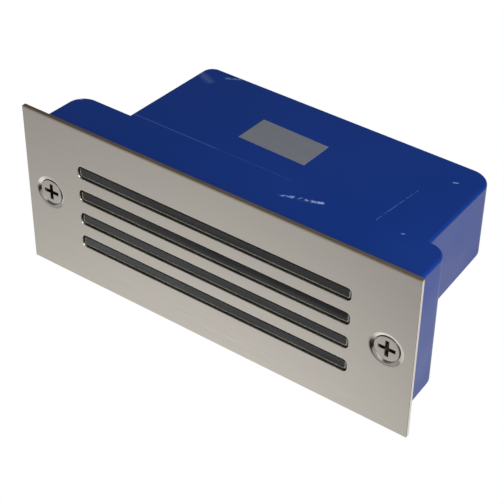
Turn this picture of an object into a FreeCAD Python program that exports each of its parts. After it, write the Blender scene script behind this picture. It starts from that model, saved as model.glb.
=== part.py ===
"""Recessed step light: slotted faceplate, clear lens, and a moulded box with its driver.

Frame: origin at the centre of the wall surface behind the faceplate, +X along the
faceplate, +Y into the wall, +Z up. Millimetres. The faceplate looks towards -Y.
"""
import FreeCAD, Part
import os
import Sketcher
from FreeCAD import Placement, Rotation, Vector

doc = FreeCAD.newDocument("step_light")
sheet = doc.addObject("Spreadsheet::Sheet", "dims")

# Every driving dimension: alias, value, what it measures. Depths are Y, heights are Z.
DIMENSIONS = {
    "Faceplate, 1 mm sheet": [
        ("plate_width", 110.0, "left to right"),
        ("plate_height", 45.0, "bottom to top"),
        ("plate_thick", 1.0, "sheet thickness"),
        ("plate_corner", 0.8, "corner radius"),
        ("slot_length", 77.0, "length of a light slot"),
        ("slot_height", 3.5, "height of a light slot"),
        ("slot_corner", 1.2, "corner radius of a slot"),
        ("slot_pitch", 6.8, "centre to centre of the slots"),
        ("slot_count", 4, "number of slots"),
        ("screw_offset", 48.0, "centre line to a face screw"),
        ("dimple_radius", 4.25, "rim of the pressed dimple"),
        ("sink_radius", 3.45, "where the dimple's slope turns into the countersink"),
        ("sink_depth", 0.35, "depth of that turn below the front"),
        ("hole_radius", 2.0, "screw hole at the bottom of the countersink"),
        ("dimple_depth", 2.3, "front of the sheet to the back of the dimple"),
        ("dimple_back", 3.4, "dimple's radius where it leaves the back of the sheet"),
        ("dimple_end", 2.4, "dimple's radius at its back end"),
    ],
    "Foam ring on the wall": [
        ("gasket_thick", 0.8, "foam thickness, pressed"),
        ("gasket_inset", 1.0, "plate edge to foam edge"),
        ("gasket_gap", 0.3, "foam to tray"),
    ],
    "Face screws": [
        ("head_radius", 3.4, "countersunk head"),
        ("head_sunk", 0.3, "head below the front of the plate"),
        ("shank_radius", 1.75, "over the thread"),
        ("screw_length", 13.0, "head to point"),
        ("point_length", 2.2, "tapered end"),
        ("point_radius", 0.5, "blunt tip"),
        ("cross_span", 4.3, "tip to tip of the cross recess"),
        ("cross_width", 0.9, "width of one arm of the recess"),
        ("cross_depth", 1.1, "depth of the recess"),
    ],
    "Lens and its seal": [
        ("seal_thick", 1.0, "silicone, squeezed against the plate"),
        ("seal_width", 84.0, "outside"),
        ("seal_height", 30.0, "outside"),
        ("seal_border", 2.4, "width of the frame"),
        ("lens_width", 86.0, "flange"),
        ("lens_height", 31.0, "flange"),
        ("lens_thick", 2.0, "flange"),
        ("bar_gap", 0.3, "raised bar to the edge of its slot"),
        ("bar_sunk", 0.35, "bar below the front of the plate"),
    ],
    "Moulded housing": [
        ("tray_width", 104.8, "at the rim"),
        ("tray_height", 37.0, "at the rim"),
        ("tray_depth", 16.5, "rim to the back of the tray"),
        ("box_left", 37.0, "centre line to the driver box's left wall"),
        ("box_right", 47.5, "centre line to the driver box's right wall"),
        ("box_bottom", 4.4, "centre line down to the driver box's floor"),
        ("box_depth", 47.2, "rim to the back of the driver box"),
        ("wall_thick", 2.0, "all outer walls"),
        ("draft_angle", 1.7, "degrees, every wall leans in towards the back"),
        ("tray_corner", 4.6, "upright corners at the back of the tray"),
        ("box_corner_left", 3.0, "upright corner at the back of the driver box"),
        ("box_corner_right", 5.5, "upright corner at the back of the driver box"),
        ("inner_corner", 3.0, "the same corners inside"),
        ("bottom_edge", 0.7, "chamfer of the lower edges of the tray and the driver box"),
        ("top_round", 0.8, "edge of the top"),
        ("boss_radius", 3.8, "face screw boss"),
        ("boss_top", 0.8, "depth of the boss's end face"),
        ("seat_radius", 3.7, "recess for the dimple"),
        ("thread_radius", 1.8, "face screw hole in the boss"),
        ("thread_depth", 12.2, "of that hole"),
        ("rib_thick", 1.5, "lens and spreader ribs"),
        ("rib_pitch", 15.0, "centre to centre of the ribs"),
        ("rib_count", 5, "ribs along each long wall"),
        ("rib_reach", 13.5, "height at which the lens rests on a rib"),
        ("rib_step", 11.0, "height to which a rib holds the spreader"),
        ("rib_tail", 22.0, "depth at which an upper rib fades out"),
        ("rib_root", 1.5, "root of a rib, inside the wall"),
        ("post_radius", 2.6, "spreader screw post"),
        ("post_hole", 1.2, "radius of the hole in a post"),
        ("post_hole_depth", 2.8, "of that hole"),
        ("ledge_front", 16.0, "depth at which the board ledges start"),
        ("ledge_reach", 3.6, "board ledge under the edge of the board"),
        ("ledge_root", 1.6, "root of a ledge, inside the floor and wall"),
        ("pilot_radius", 1.1, "screw holes in the ledges and the saddle"),
        ("pilot_depth", 3.0, "of those holes"),
        ("saddle_width", 5.0, "cable saddle, along the cable"),
        ("saddle_left", 32.0, "centre line to the left side of the saddle"),
        ("saddle_top", 3.0, "height of the saddle's top"),
    ],
    "Cable inlet": [
        ("cable_radius", 3.1, "hole in the grommet, for a 6.2 mm cable"),
        ("cable_depth", 30.0, "depth of the cable's axis"),
        ("inlet_face", 37.6, "centre line to the flat outer face of the inlet"),
        ("inlet_wall", 4.0, "thickness of the wall at the inlet"),
        ("inlet_radius", 7.0, "round pad at the inlet"),
        ("inlet_hole", 4.5, "hole for the grommet's neck"),
        ("flange_radius", 6.0, "grommet outside the wall"),
        ("flange_thick", 1.5, "grommet outside the wall"),
        ("neck_play", 0.05, "neck of the grommet to the wall"),
        ("collar_radius", 5.4, "grommet inside the wall"),
        ("collar_thick", 1.2, "grommet inside the wall"),
        ("clamp_length", 16.0, "across the cable"),
        ("clamp_height", 8.4, "saddle to the top of the clamp"),
        ("clamp_pitch", 12.0, "between the clamp's screws"),
        ("clamp_gap", 3.6, "cable's axis to the side of the clamp's mouth"),
        ("clamp_mouth", 6.3, "saddle to the top of that mouth"),
        ("mouth_slope", 1.6, "slope at its two upper corners"),
        ("clamp_edge", 0.8, "chamfer on the clamp's upper ends"),
        ("clearance_hole", 1.15, "screw holes in the clamp and the driver board"),
    ],
    "Emitter board and spreader": [
        ("led_board_width", 76.0, "left to right"),
        ("led_board_height", 24.0, "bottom to top"),
        ("led_board_thick", 1.6, "metal-core board"),
        ("led_board_depth", 9.0, "depth of the board's front"),
        ("led_length", 3.5, "emitter, left to right"),
        ("led_height", 2.8, "emitter, bottom to top"),
        ("led_thick", 0.8, "emitter"),
        ("led_pitch", 11.5, "between emitters in a row"),
        ("led_row", 5.0, "centre line to a row of emitters"),
        ("led_columns", 6, "emitters in a row"),
        ("led_screw_x", 35.5, "centre line to a board screw"),
        ("spreader_width", 87.0, "left to right"),
        ("spreader_height", 26.4, "bottom to top"),
        ("spreader_thick", 1.5, "aluminium"),
        ("spreader_screw_x", 41.0, "centre line to a spreader screw"),
        ("spreader_screw_z", 8.0, "centre line down to a spreader screw"),
        ("led_hole", 1.1, "board screw hole in the emitter board"),
        ("led_pilot", 1.05, "board screw hole in the spreader"),
        ("spreader_hole", 1.25, "spreader screw hole"),
        ("lead_window", 0.9, "a lead's axis to the edge of the window for both leads"),
    ],
    "Small screws, two of each kind": [
        ("led_head", 1.9, "emitter board screw: head radius, to a corner"),
        ("led_head_high", 1.2, "head height"),
        ("led_shank", 0.95, "shank radius, to a corner"),
        ("led_shank_long", 3.4, "shank length"),
        ("spreader_head", 2.1, "spreader screw: head radius, to a corner"),
        ("spreader_head_high", 1.4, "head height"),
        ("spreader_shank", 1.1, "shank radius, to a corner"),
        ("spreader_shank_long", 4.0, "shank length"),
        ("driver_head", 2.0, "driver board screw: head radius, to a corner"),
        ("driver_head_high", 1.3, "head height"),
        ("driver_shank", 1.0, "shank radius, to a corner"),
        ("driver_shank_long", 4.2, "shank length"),
        ("clamp_head", 2.0, "clamp screw: head radius, to a corner"),
        ("clamp_head_high", 1.4, "head height"),
        ("clamp_shank", 1.0, "shank radius, to a corner"),
        ("clamp_shank_long", 11.0, "shank length"),
    ],
    "Leads to the emitter board": [
        ("lead_radius", 0.6, "over the insulation, to a corner of its six sides"),
        ("lead_left", 31.8, "left lead from the centre line"),
        ("lead_spacing", 2.4, "between the leads"),
        ("lead_start", 24.0, "depth at which a lead leaves the driver board"),
        ("lead_rise", 6.5, "height at which a lead runs forward"),
        ("lead_bend", 3.2, "radius of its bend"),
        ("lead_end", 0.2, "end of a lead, in front of the emitter board"),
    ],
    "Driver board": [
        ("driver_left", -22.0, "left edge"),
        ("driver_right", 42.0, "right edge"),
        ("driver_front", 15.8, "front edge"),
        ("driver_back", 43.2, "back edge"),
        ("driver_seat", 1.0, "height of the ledges it rests on"),
        ("driver_thick", 1.6, "board"),
        ("driver_screw_depth", 19.0, "depth of its two screws"),
        ("driver_screw_inset", 1.8, "edge of the board to a screw"),
    ],
    "Parts on the driver board": [
        ("terminal_x", -20.0, "left side of the terminal block"),
        ("terminal_length", 9.0, "along the cable"),
        ("terminal_width", 11.0, "across the cable"),
        ("terminal_height", 10.0, "of the terminal block"),
        ("terminal_pitch", 5.0, "between its two poles"),
        ("well_radius", 1.7, "well over a terminal screw"),
        ("well_depth", 3.4, "of that well"),
        ("mouth_width", 3.2, "wire mouth"),
        ("mouth_low", 1.6, "board to the lower edge of a wire mouth"),
        ("mouth_high", 5.2, "board to its upper edge"),
        ("mouth_deep", 6.0, "depth of a wire mouth"),
        ("clamping_radius", 1.55, "terminal screw"),
        ("clamping_height", 2.4, "terminal screw"),
        ("screw_slot", 0.5, "width of its slot"),
        ("screw_slot_deep", 0.8, "depth of its slot"),
        ("fuse_x", -2.0, "middle of the fuse resistor"),
        ("fuse_y", 20.5, "middle of the fuse resistor"),
        ("fuse_length", 9.0, "body of the fuse resistor"),
        ("fuse_radius", 1.6, "body of the fuse resistor"),
        ("wire_radius", 0.3, "its wires, half their width"),
        ("wire_reach", 1.6, "wires beyond each end"),
        ("film_x", -1.5, "middle of the film capacitor"),
        ("film_y", 37.2, "middle of the film capacitor"),
        ("film_length", 12.5, "film capacitor"),
        ("film_width", 6.0, "film capacitor"),
        ("film_height", 9.5, "film capacitor"),
        ("bridge_x", -5.6, "middle of the rectifier"),
        ("bridge_y", 27.5, "middle of the rectifier"),
        ("bridge_length", 4.7, "rectifier"),
        ("bridge_width", 4.0, "rectifier"),
        ("bridge_height", 2.4, "rectifier"),
        ("bridge_pitch", 2.5, "between its legs"),
        ("choke_x", 3.6, "middle of the choke"),
        ("choke_y", 28.0, "middle of the choke"),
        ("choke_radius", 4.0, "choke in its sleeve"),
        ("choke_height", 8.5, "choke in its sleeve"),
        ("input_x", 9.8, "middle of the input capacitor"),
        ("input_y", 37.6, "middle of the input capacitor"),
        ("input_radius", 4.0, "input capacitor"),
        ("input_height", 11.6, "input capacitor"),
        ("chip_x", 12.8, "middle of the driver chip"),
        ("chip_y", 21.5, "middle of the driver chip"),
        ("chip_length", 5.0, "driver chip"),
        ("chip_width", 3.9, "driver chip"),
        ("chip_height", 1.6, "driver chip"),
        ("chip_pitch", 1.27, "between its legs"),
        ("leg_width", 0.5, "their legs"),
        ("leg_reach", 0.9, "legs beyond each side"),
        ("leg_thick", 0.25, "their legs"),
        ("output_x", 35.0, "middle of the output capacitor"),
        ("output_y", 36.4, "middle of the output capacitor"),
        ("output_radius", 3.15, "output capacitor"),
        ("output_height", 11.0, "output capacitor"),
        ("can_edge", 0.4, "sloping shoulder of a capacitor or choke"),
        ("core_x", 21.4, "middle of the transformer"),
        ("core_y", 33.0, "middle of the transformer"),
        ("core_width", 14.0, "ferrite core, left to right"),
        ("core_deep", 6.0, "ferrite core, front to back"),
        ("core_height", 9.6, "ferrite core"),
        ("core_yoke", 1.8, "top and bottom of the core"),
        ("core_side", 2.0, "outer legs of the core"),
        ("core_leg", 4.0, "middle leg of the core"),
        ("bobbin_base", 1.6, "block under the core"),
        ("bobbin_wall", 0.7, "tube and flanges of the bobbin"),
        ("winding_deep", 11.6, "coil, front to back"),
        ("winding_corner", 1.2, "upright corners of the coil"),
        ("bobbin_play", 0.1, "core to the bobbin, and flange to the core"),
        ("flange_beyond", 0.4, "bobbin flange beyond the coil"),
    ],
    "Rating label, left blank": [
        ("label_length", 19.0, "left to right"),
        ("label_width", 10.0, "front to back"),
        ("label_thick", 0.12, "foil"),
        ("label_x", -0.5, "middle of the label"),
        ("label_depth", 28.4, "middle of the label"),
        ("label_turn", -1.5, "degrees, stuck on slightly askew"),
    ],
}

row = 1
for group, sizes in DIMENSIONS.items():
    sheet.set(f"A{row}", group)
    row += 1
    for alias, number, meaning in sizes:
        sheet.set(f"A{row}", alias)
        sheet.set(f"B{row}", str(number))
        sheet.set(f"C{row}", meaning)
        sheet.setAlias(f"B{row}", alias)
        row += 1
doc.recompute()

# Depths of the main layers, as expressions on the sheet.
RIM = "-dims.gasket_thick"
PLATE_FRONT = "-dims.gasket_thick - dims.plate_thick"
BAR_FRONT = f"{PLATE_FRONT} + dims.bar_sunk"
LENS_FRONT = f"{RIM} + dims.seal_thick"
LENS_BACK = f"{LENS_FRONT} + dims.lens_thick"
HEAD_FRONT = f"{PLATE_FRONT} + dims.head_sunk"
SPREADER_FRONT = "dims.led_board_depth + dims.led_board_thick"
SPREADER_BACK = f"{SPREADER_FRONT} + dims.spreader_thick"
TRAY_BACK = f"{RIM} + dims.tray_depth"
BOARD_TOP = "dims.driver_seat + dims.driver_thick"
CABLE_HEIGHT = "dims.saddle_top + dims.cable_radius"
MID_WALL = "dims.wall_thick/2"
LIGHTLY = 1e-6
UPRIGHT_SLACK = 4.0

# Where the small screws and the leads are, as expressions on the sheet.
LED_SCREWS = [(f"{i}dims.led_screw_x", "0") for i in ("", "-")]
SPREADER_SCREWS = [(f"{i}dims.spreader_screw_x", "-dims.spreader_screw_z") for i in ("", "-")]
DRIVER_SCREWS = [("dims.driver_left + dims.driver_screw_inset", "dims.driver_screw_depth"),
                 ("dims.driver_right - dims.driver_screw_inset", "dims.driver_screw_depth")]
CLAMP_SCREWS = [("dims.saddle_width/2 - dims.saddle_left", f"dims.cable_depth {i} dims.clamp_pitch/2")
                for i in ("-", "+")]
LEADS = ["dims.lead_left", "dims.lead_left + dims.lead_spacing"]
LEAD_WINDOW = (f"{LEADS[0]} - dims.lead_window", "dims.lead_rise - dims.lead_window",
               f"{LEADS[1]} + dims.lead_window", "dims.lead_rise + dims.lead_window")
INTO_WALL = Rotation(Vector(1, 0, 0), -90)
DOWNWARDS = Rotation(Vector(1, 0, 0), 180)

pieces = []


def value(expression):
    """The present value of an expression on the sheet."""
    return float(sheet.evalExpression(str(expression)))


def bind(target, **expressions):
    """Tie properties of an object to expressions on the sheet."""
    for name, expression in expressions.items():
        target.setExpression(name, str(expression))


def move(target, x="0", y="0", z="0"):
    """Tie the position of an object to the sheet."""
    for axis, expression in zip("xyz", (x, y, z)):
        target.setExpression(f"Placement.Base.{axis}", str(expression))


def keep(target, label):
    """Name a finished sub-part after its node."""
    target.Label = label
    pieces.append(target)
    return target


def new_body(label):
    return keep(doc.addObject("PartDesign::Body", label + "_body"), label)


def origin_feature(body, role):
    return next(item for item in body.Origin.OriginFeatures if item.Role == role)


def new_sketch(body, name, plane, distance="0"):
    """A sketch parallel to one of the body's planes. XZ_Plane looks towards -Y."""
    sketch = body.newObject("Sketcher::SketchObject", name)
    sketch.AttachmentSupport = [(origin_feature(body, plane), "")]
    sketch.MapMode = "FlatFace"
    sign = "-" if plane == "XZ_Plane" else ""
    sketch.setExpression(".AttachmentOffset.Base.z", f"{sign}({distance})")
    return sketch


def dimension(sketch, kind, where, expression):
    """A driving dimension whose value comes from the sheet."""
    number = sketch.addConstraint(Sketcher.Constraint(kind, *where, value(expression)))
    sketch.setExpression(f"Constraints[{number}]", str(expression))


def locate(sketch, geometry, point, x, y):
    """Fix a point of a sketch: on an axis where the expression is zero."""
    for kind, axis, expression in (("DistanceX", -2, x), ("DistanceY", -1, y)):
        if abs(value(expression)) < LIGHTLY:
            sketch.addConstraint(Sketcher.Constraint("PointOnObject", geometry, point, axis))
        else:
            dimension(sketch, kind, (-1, 1, geometry, point), expression)


def polygon(sketch, corners):
    """A closed outline through corners given as pairs of expressions."""
    first = sketch.GeometryCount
    places = [Vector(value(x), value(y), 0) for x, y in corners]
    for here, there in zip(places, places[1:] + places[:1]):
        sketch.addGeometry(Part.LineSegment(here, there), False)
    count = len(corners)
    for i in range(count):
        following = first + (i + 1) % count
        sketch.addConstraint(Sketcher.Constraint("Coincident", first + i, 2, following, 1))
    for i, (x, y) in enumerate(corners):
        locate(sketch, first + i, 1, x, y)


def rectangle(sketch, left, bottom, right, top):
    polygon(sketch, [(left, bottom), (right, bottom), (right, top), (left, top)])


def centred_rectangle(sketch, width, height):
    rectangle(sketch, f"-({width})/2", f"-({height})/2", f"({width})/2", f"({height})/2")


def rounded_rectangle(sketch, width, height, radius, x="0", y="0"):
    """Four sides and four tangent corner arcs round the point x, y."""
    mid = Vector(value(x), value(y), 0)
    half_x = value(width) / 2
    half_y = value(height) / 2
    bend = value(radius)
    first = sketch.GeometryCount
    for turn in range(4):
        spin = Rotation(Vector(0, 0, 1), 90 * turn)
        along, across = (half_x, half_y) if turn % 2 == 0 else (half_y, half_x)
        start = mid + spin.multVec(Vector(bend - along, -across, 0))
        end = mid + spin.multVec(Vector(along - bend, -across, 0))
        centre = mid + spin.multVec(Vector(along - bend, bend - across, 0))
        after = mid + spin.multVec(Vector(along, bend - across, 0))
        between = centre + spin.multVec(Vector(1, -1, 0).normalize() * bend)
        sketch.addGeometry(Part.LineSegment(start, end), False)
        sketch.addGeometry(Part.ArcOfCircle(end, between, after), False)
    for side in range(4):
        line = first + 2 * side
        arc = line + 1
        following = first + (2 * side + 2) % 8
        sketch.addConstraint(Sketcher.Constraint("Tangent", line, 2, arc, 1))
        sketch.addConstraint(Sketcher.Constraint("Tangent", arc, 2, following, 1))
        kind = "Horizontal" if side % 2 == 0 else "Vertical"
        sketch.addConstraint(Sketcher.Constraint(kind, line))
        if side:
            sketch.addConstraint(Sketcher.Constraint("Equal", first + 1, arc))
    dimension(sketch, "Radius", (first + 1,), radius)
    dimension(sketch, "DistanceX", (first + 6, 1, first + 2, 1), width)
    dimension(sketch, "DistanceY", (first, 1, first + 4, 1), height)
    locate(sketch, first + 1, 3, f"{x} + ({width})/2 - ({radius})", f"{y} - ({height})/2 + ({radius})")


def circle(sketch, x, y, radius):
    number = sketch.GeometryCount
    centre = Vector(value(x), value(y), 0)
    sketch.addGeometry(Part.Circle(centre, Vector(0, 0, 1), value(radius)), False)
    dimension(sketch, "Radius", (number,), radius)
    locate(sketch, number, 3, x, y)


def feature(body, kind, name, sketch, **settings):
    """Add a PartDesign feature on a sketch and check that it changed the solid."""
    before = body.Shape.Volume if body.Tip else 0.0
    result = body.newObject("PartDesign::" + kind, name)
    result.Profile = sketch
    for key, setting in settings.items():
        if isinstance(setting, str):
            result.setExpression(key, setting)
        else:
            setattr(result, key, setting)
    doc.recompute()
    change = result.Shape.Volume - before
    removes = kind in ("Pocket", "Groove")
    if (change > -LIGHTLY) if removes else (change < LIGHTLY):
        raise RuntimeError(f"{name} points the wrong way, volume change {change:.3f}")
    return result


def pad(body, sketch, name, length, into_wall=True, **settings):
    """A pad from an XZ sketch runs into the wall (+Y) when reversed."""
    return feature(body, "Pad", name, sketch, Length=length, Reversed=into_wall, **settings)


def pocket(body, sketch, name, length, back=False, **settings):
    return feature(body, "Pocket", name, sketch, Length=length, Reversed=back, **settings)


def pattern(body, kind, name, originals, **settings):
    """A pattern or mirror of features, which counts once the body's tip is on it."""
    before = body.Shape.Volume
    result = body.newObject("PartDesign::" + kind, name)
    result.Originals = originals
    for key, setting in settings.items():
        if isinstance(setting, str):
            result.setExpression(key, setting)
        else:
            setattr(result, key, setting)
    body.Tip = result
    doc.recompute()
    if abs(result.Shape.Volume - before) < LIGHTLY:
        raise RuntimeError(f"{name} changed nothing")
    return result


def edge_names(shape, wanted):
    """Names of the edges whose ends and middle the test accepts."""
    names = []
    for number, edge in enumerate(shape.Edges, 1):
        ends = [vertex.Point for vertex in edge.Vertexes]
        if len(ends) == 2 and wanted(ends[0], ends[1]):
            names.append(f"Edge{number}")
    return names


def soften(body, kind, name, size, wanted):
    """Fillet or chamfer the edges of the body's present shape that pass a test."""
    base = body.Tip
    names = edge_names(base.Shape, wanted)
    if not names:
        raise RuntimeError(f"{name} found no edge")
    result = body.newObject("PartDesign::" + kind, name)
    result.Base = (base, names)
    result.setExpression("Radius" if kind == "Fillet" else "Size", size)
    doc.recompute()
    if not result.isValid() or abs(result.Shape.Volume - base.Shape.Volume) < LIGHTLY:
        raise RuntimeError(f"{name} changed nothing on {names}")
    return result


def near(number, expression, slack=0.05):
    return abs(number - value(expression)) < slack


def turned(label, plane, axis, profile):
    """A body turned round an axis of its own sketch plane."""
    body = new_body(label)
    sketch = new_sketch(body, label + "_profile", plane)
    polygon(sketch, profile)
    feature(body, "Revolution", label + "_turned", sketch, ReferenceAxis=(sketch, [axis]), Angle=360.0)
    return body


def make_faceplate():
    """Sheet with four slots and two dimples pressed through for the screws."""
    body = new_body("faceplate")
    outline = new_sketch(body, "plate_outline", "XZ_Plane", PLATE_FRONT)
    rounded_rectangle(outline, "dims.plate_width", "dims.plate_height", "dims.plate_corner")
    pad(body, outline, "plate_sheet", "dims.plate_thick")

    slot = new_sketch(body, "slot_outline", "XZ_Plane", PLATE_FRONT)
    lowest = "-(dims.slot_count - 1)*dims.slot_pitch/2"
    rounded_rectangle(slot, "dims.slot_length", "dims.slot_height", "dims.slot_corner", y=lowest)
    first_slot = pocket(body, slot, "first_slot", "dims.plate_thick")
    pattern(body, "LinearPattern", "slots", [first_slot],
            Direction=(origin_feature(body, "Z_Axis"), [""]),
            Length="(dims.slot_count - 1)*dims.slot_pitch", Occurrences="dims.slot_count")

    back = new_sketch(body, "dimple_back_profile", "XY_Plane")
    screw = "dims.screw_offset"
    deepest = f"{PLATE_FRONT} + dims.dimple_depth"
    axis = Part.LineSegment(Vector(value(screw), 0, 0), Vector(value(screw), 5, 0))
    back.addGeometry(axis, True)
    back.addConstraint(Sketcher.Constraint("Vertical", 0))
    locate(back, 0, 1, screw, "0")
    dimension(back, "DistanceY", (0, 1, 0, 2), "5")
    polygon(back, [
        (screw, RIM),
        (f"{screw} + dims.dimple_back", RIM),
        (f"{screw} + dims.dimple_end", deepest),
        (screw, deepest),
    ])
    swell = feature(body, "Revolution", "dimple_back", back, ReferenceAxis=(back, ["Axis0"]), Angle=360.0)

    front = new_sketch(body, "dimple_front_profile", "XY_Plane")
    front.addGeometry(axis, True)
    front.addConstraint(Sketcher.Constraint("Vertical", 0))
    locate(front, 0, 1, screw, "0")
    dimension(front, "DistanceY", (0, 1, 0, 2), "5")
    turn = f"{PLATE_FRONT} + dims.sink_depth"
    polygon(front, [
        (screw, PLATE_FRONT),
        (f"{screw} + dims.dimple_radius", PLATE_FRONT),
        (f"{screw} + dims.sink_radius", turn),
        (f"{screw} + dims.hole_radius", f"{turn} + dims.sink_radius - dims.hole_radius"),
        (f"{screw} + dims.hole_radius", deepest),
        (screw, deepest),
    ])
    sink = feature(body, "Groove", "dimple_front", front, ReferenceAxis=(front, ["Axis0"]), Angle=360.0)
    pattern(body, "Mirrored", "dimples", [swell, sink], MirrorPlane=(origin_feature(body, "YZ_Plane"), [""]))
    return body


def make_frame(label, depth, thickness, outer, inner):
    """A flat ring cut from sheet: the foam ring and the lens seal."""
    body = new_body(label)
    outline = new_sketch(body, label + "_outline", "XZ_Plane", depth)
    centred_rectangle(outline, *outer)
    centred_rectangle(outline, *inner)
    pad(body, outline, label + "_sheet", thickness)
    return body


def make_lens():
    """Flange behind the plate, with one raised bar for each slot."""
    body = new_body("lens")
    flange = new_sketch(body, "lens_outline", "XZ_Plane", LENS_FRONT)
    centred_rectangle(flange, "dims.lens_width", "dims.lens_height")
    pad(body, flange, "lens_flange", "dims.lens_thick")
    bar = new_sketch(body, "bar_outline", "XZ_Plane", LENS_FRONT)
    rounded_rectangle(bar, "dims.slot_length - 2*dims.bar_gap", "dims.slot_height - 2*dims.bar_gap",
                      "dims.slot_corner - dims.bar_gap", y="-(dims.slot_count - 1)*dims.slot_pitch/2")
    first_bar = pad(body, bar, "first_bar", f"{LENS_FRONT} - ({BAR_FRONT})", into_wall=False)
    pattern(body, "LinearPattern", "bars", [first_bar],
            Direction=(origin_feature(body, "Z_Axis"), [""]),
            Length="(dims.slot_count - 1)*dims.slot_pitch", Occurrences="dims.slot_count")
    return body


def make_face_screw(side, sign):
    """Countersunk screw, turned, with a cross recess in its head."""
    tip = "dims.screw_length"
    cone = "dims.head_radius - dims.shank_radius"
    body = turned(f"face_screw_{side}", "XY_Plane", "V_Axis", [
        ("0", "0"),
        ("dims.head_radius", "0"),
        ("dims.shank_radius", cone),
        ("dims.shank_radius", f"{tip} - dims.point_length"),
        ("dims.point_radius", tip),
        ("0", tip),
    ])
    cross = new_sketch(body, f"cross_{side}", "XZ_Plane")
    arm = "dims.cross_width/2"
    reach = "dims.cross_span/2"
    polygon(cross, [
        (f"-{arm}", f"-{reach}"), (arm, f"-{reach}"), (arm, f"-{arm}"), (reach, f"-{arm}"),
        (reach, arm), (arm, arm), (arm, reach), (f"-{arm}", reach),
        (f"-{arm}", arm), (f"-{reach}", arm), (f"-{reach}", f"-{arm}"), (f"-{arm}", f"-{arm}"),
    ])
    pocket(body, cross, f"recess_{side}", "dims.cross_depth")
    move(body, f"{sign}dims.screw_offset", HEAD_FRONT)
    return body


def lean(depth):
    """How far a drafted wall has leaned in at a depth."""
    return f"tan(dims.draft_angle)*({depth} + dims.gasket_thick)"


def leaning_edge(level, sign, start=RIM):
    """Test for an edge on a drafted top or bottom face, except along the depth where it starts."""
    def wanted(a, b):
        on_face = all(near(end.z, f"{level} {sign} {lean(str(end.y))}") for end in (a, b))
        return on_face and not (near(a.y, start) and near(b.y, start))
    return wanted


def make_housing():
    """One moulding: shallow tray, deep driver box, bosses, ribs, ledges and cable inlet."""
    body = new_body("housing")
    hollow_block(body)
    screw_bosses(body)
    lens_ribs(body)
    board_supports(body)
    cable_inlet(body)
    round_outside(body)
    return body


def upright_at(depth, piece, right=None):
    """Test for an upright edge of the tray or the box at a depth, on one side or both."""
    tall = {"tray": 1.8, "box": 1.0}[piece] * value("dims.tray_height/2")
    def wanted(a, b):
        side = right is None or right == (a.x > 0)
        return side and near(a.y, depth) and near(b.y, depth) and near(abs(a.z - b.z), tall, UPRIGHT_SLACK)
    return wanted


def drafted_block(body, name, inset):
    """Tray and driver box as one block that leans in on every side, by true planes."""
    half = f"(dims.tray_width/2 - {inset})"
    top = f"(dims.tray_height/2 - {inset})"
    floor = f"(dims.box_bottom - {inset})"
    left = f"(dims.box_left - {inset})"
    right = f"(dims.box_right - {inset})"
    tray_back = f"({RIM} + dims.tray_depth - {inset})"
    box_back = f"({RIM} + dims.box_depth - {inset})"
    for piece, west, east, low, back in (("tray", half, half, top, tray_back),
                                         ("box", left, right, floor, box_back)):
        plan = new_sketch(body, f"{name}_{piece}_plan", "XY_Plane", f"-{low}")
        polygon(plan, [(f"-{west}", RIM), (east, RIM),
                       (f"{east} - {lean(back)}", back), (f"{lean(back)} - {west}", back)])
        pad(body, plan, f"{name}_{piece}", f"{top} + {low}", into_wall=False)
    slopes = new_sketch(body, f"{name}_slopes", "YZ_Plane", f"-{half}")
    polygon(slopes, [(RIM, top), (box_back, top), (box_back, f"{top} - {lean(box_back)}")])
    polygon(slopes, [(RIM, f"-{top}"), (tray_back, f"-{top}"), (tray_back, f"{lean(tray_back)} - {top}")])
    polygon(slopes, [(tray_back, f"-{floor}"), (box_back, f"-{floor}"),
                     (box_back, f"{lean(box_back)} - {floor}"), (tray_back, f"{lean(tray_back)} - {floor}")])
    pocket(body, slopes, f"{name}_lean", f"2*{half}", back=True)


def hollow_block(body):
    """Cut the core, which is the same block less the wall, and round the corners it leaves."""
    drafted_block(body, "block", "0")
    core = doc.addObject("PartDesign::Body", "housing_core")
    drafted_block(core, "core", "dims.wall_thick")
    hollow = body.newObject("PartDesign::Boolean", "hollow")
    hollow.Type = "Cut"
    hollow.setObjects([core])
    doc.recompute()
    for piece, depth in (("tray", "dims.tray_depth"), ("box", "dims.box_depth")):
        corners = upright_at(f"{RIM} + {depth} - dims.wall_thick", piece)
        soften(body, "Fillet", f"{piece}_corners_inside", "dims.inner_corner", corners)


def round_outside(body):
    """Round the outer edges last, so that they trim what stands inside the corners."""
    box_back = f"{RIM} + dims.box_depth"
    soften(body, "Fillet", "tray_corners", "dims.tray_corner", upright_at(TRAY_BACK, "tray"))
    for side, is_right in (("left", False), ("right", True)):
        corner = upright_at(box_back, "box", right=is_right)
        soften(body, "Fillet", f"{side}_box_corner", f"dims.box_corner_{side}", corner)
    soften(body, "Fillet", "top_edge", "dims.top_round", leaning_edge("dims.tray_height/2", "-"))
    soften(body, "Chamfer", "tray_bottom_edge", "dims.bottom_edge", leaning_edge("-dims.tray_height/2", "+"))
    box_bottom = leaning_edge("-dims.box_bottom", "+", start=TRAY_BACK)
    soften(body, "Chamfer", "box_bottom_edge", "dims.bottom_edge", box_bottom)


def screw_bosses(body):
    """Two bosses for the face screws, each with a recess for the dimple."""
    places = ("dims.screw_offset", "-dims.screw_offset")
    boss = new_sketch(body, "boss_outline", "XZ_Plane", "dims.boss_top")
    for x in places:
        circle(boss, x, "0", "dims.boss_radius")
    pad(body, boss, "bosses", f"{TRAY_BACK} - {MID_WALL} - dims.boss_top")
    seat = new_sketch(body, "seat_outline", "XZ_Plane", RIM)
    for x in places:
        circle(seat, x, "0", "dims.seat_radius")
    pocket(body, seat, "dimple_seats", f"dims.boss_top - ({RIM})")
    thread = new_sketch(body, "thread_outline", "XZ_Plane", "dims.boss_top")
    for x in places:
        circle(thread, x, "0", "dims.thread_radius")
    pocket(body, thread, "threads", "dims.thread_depth")


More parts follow.
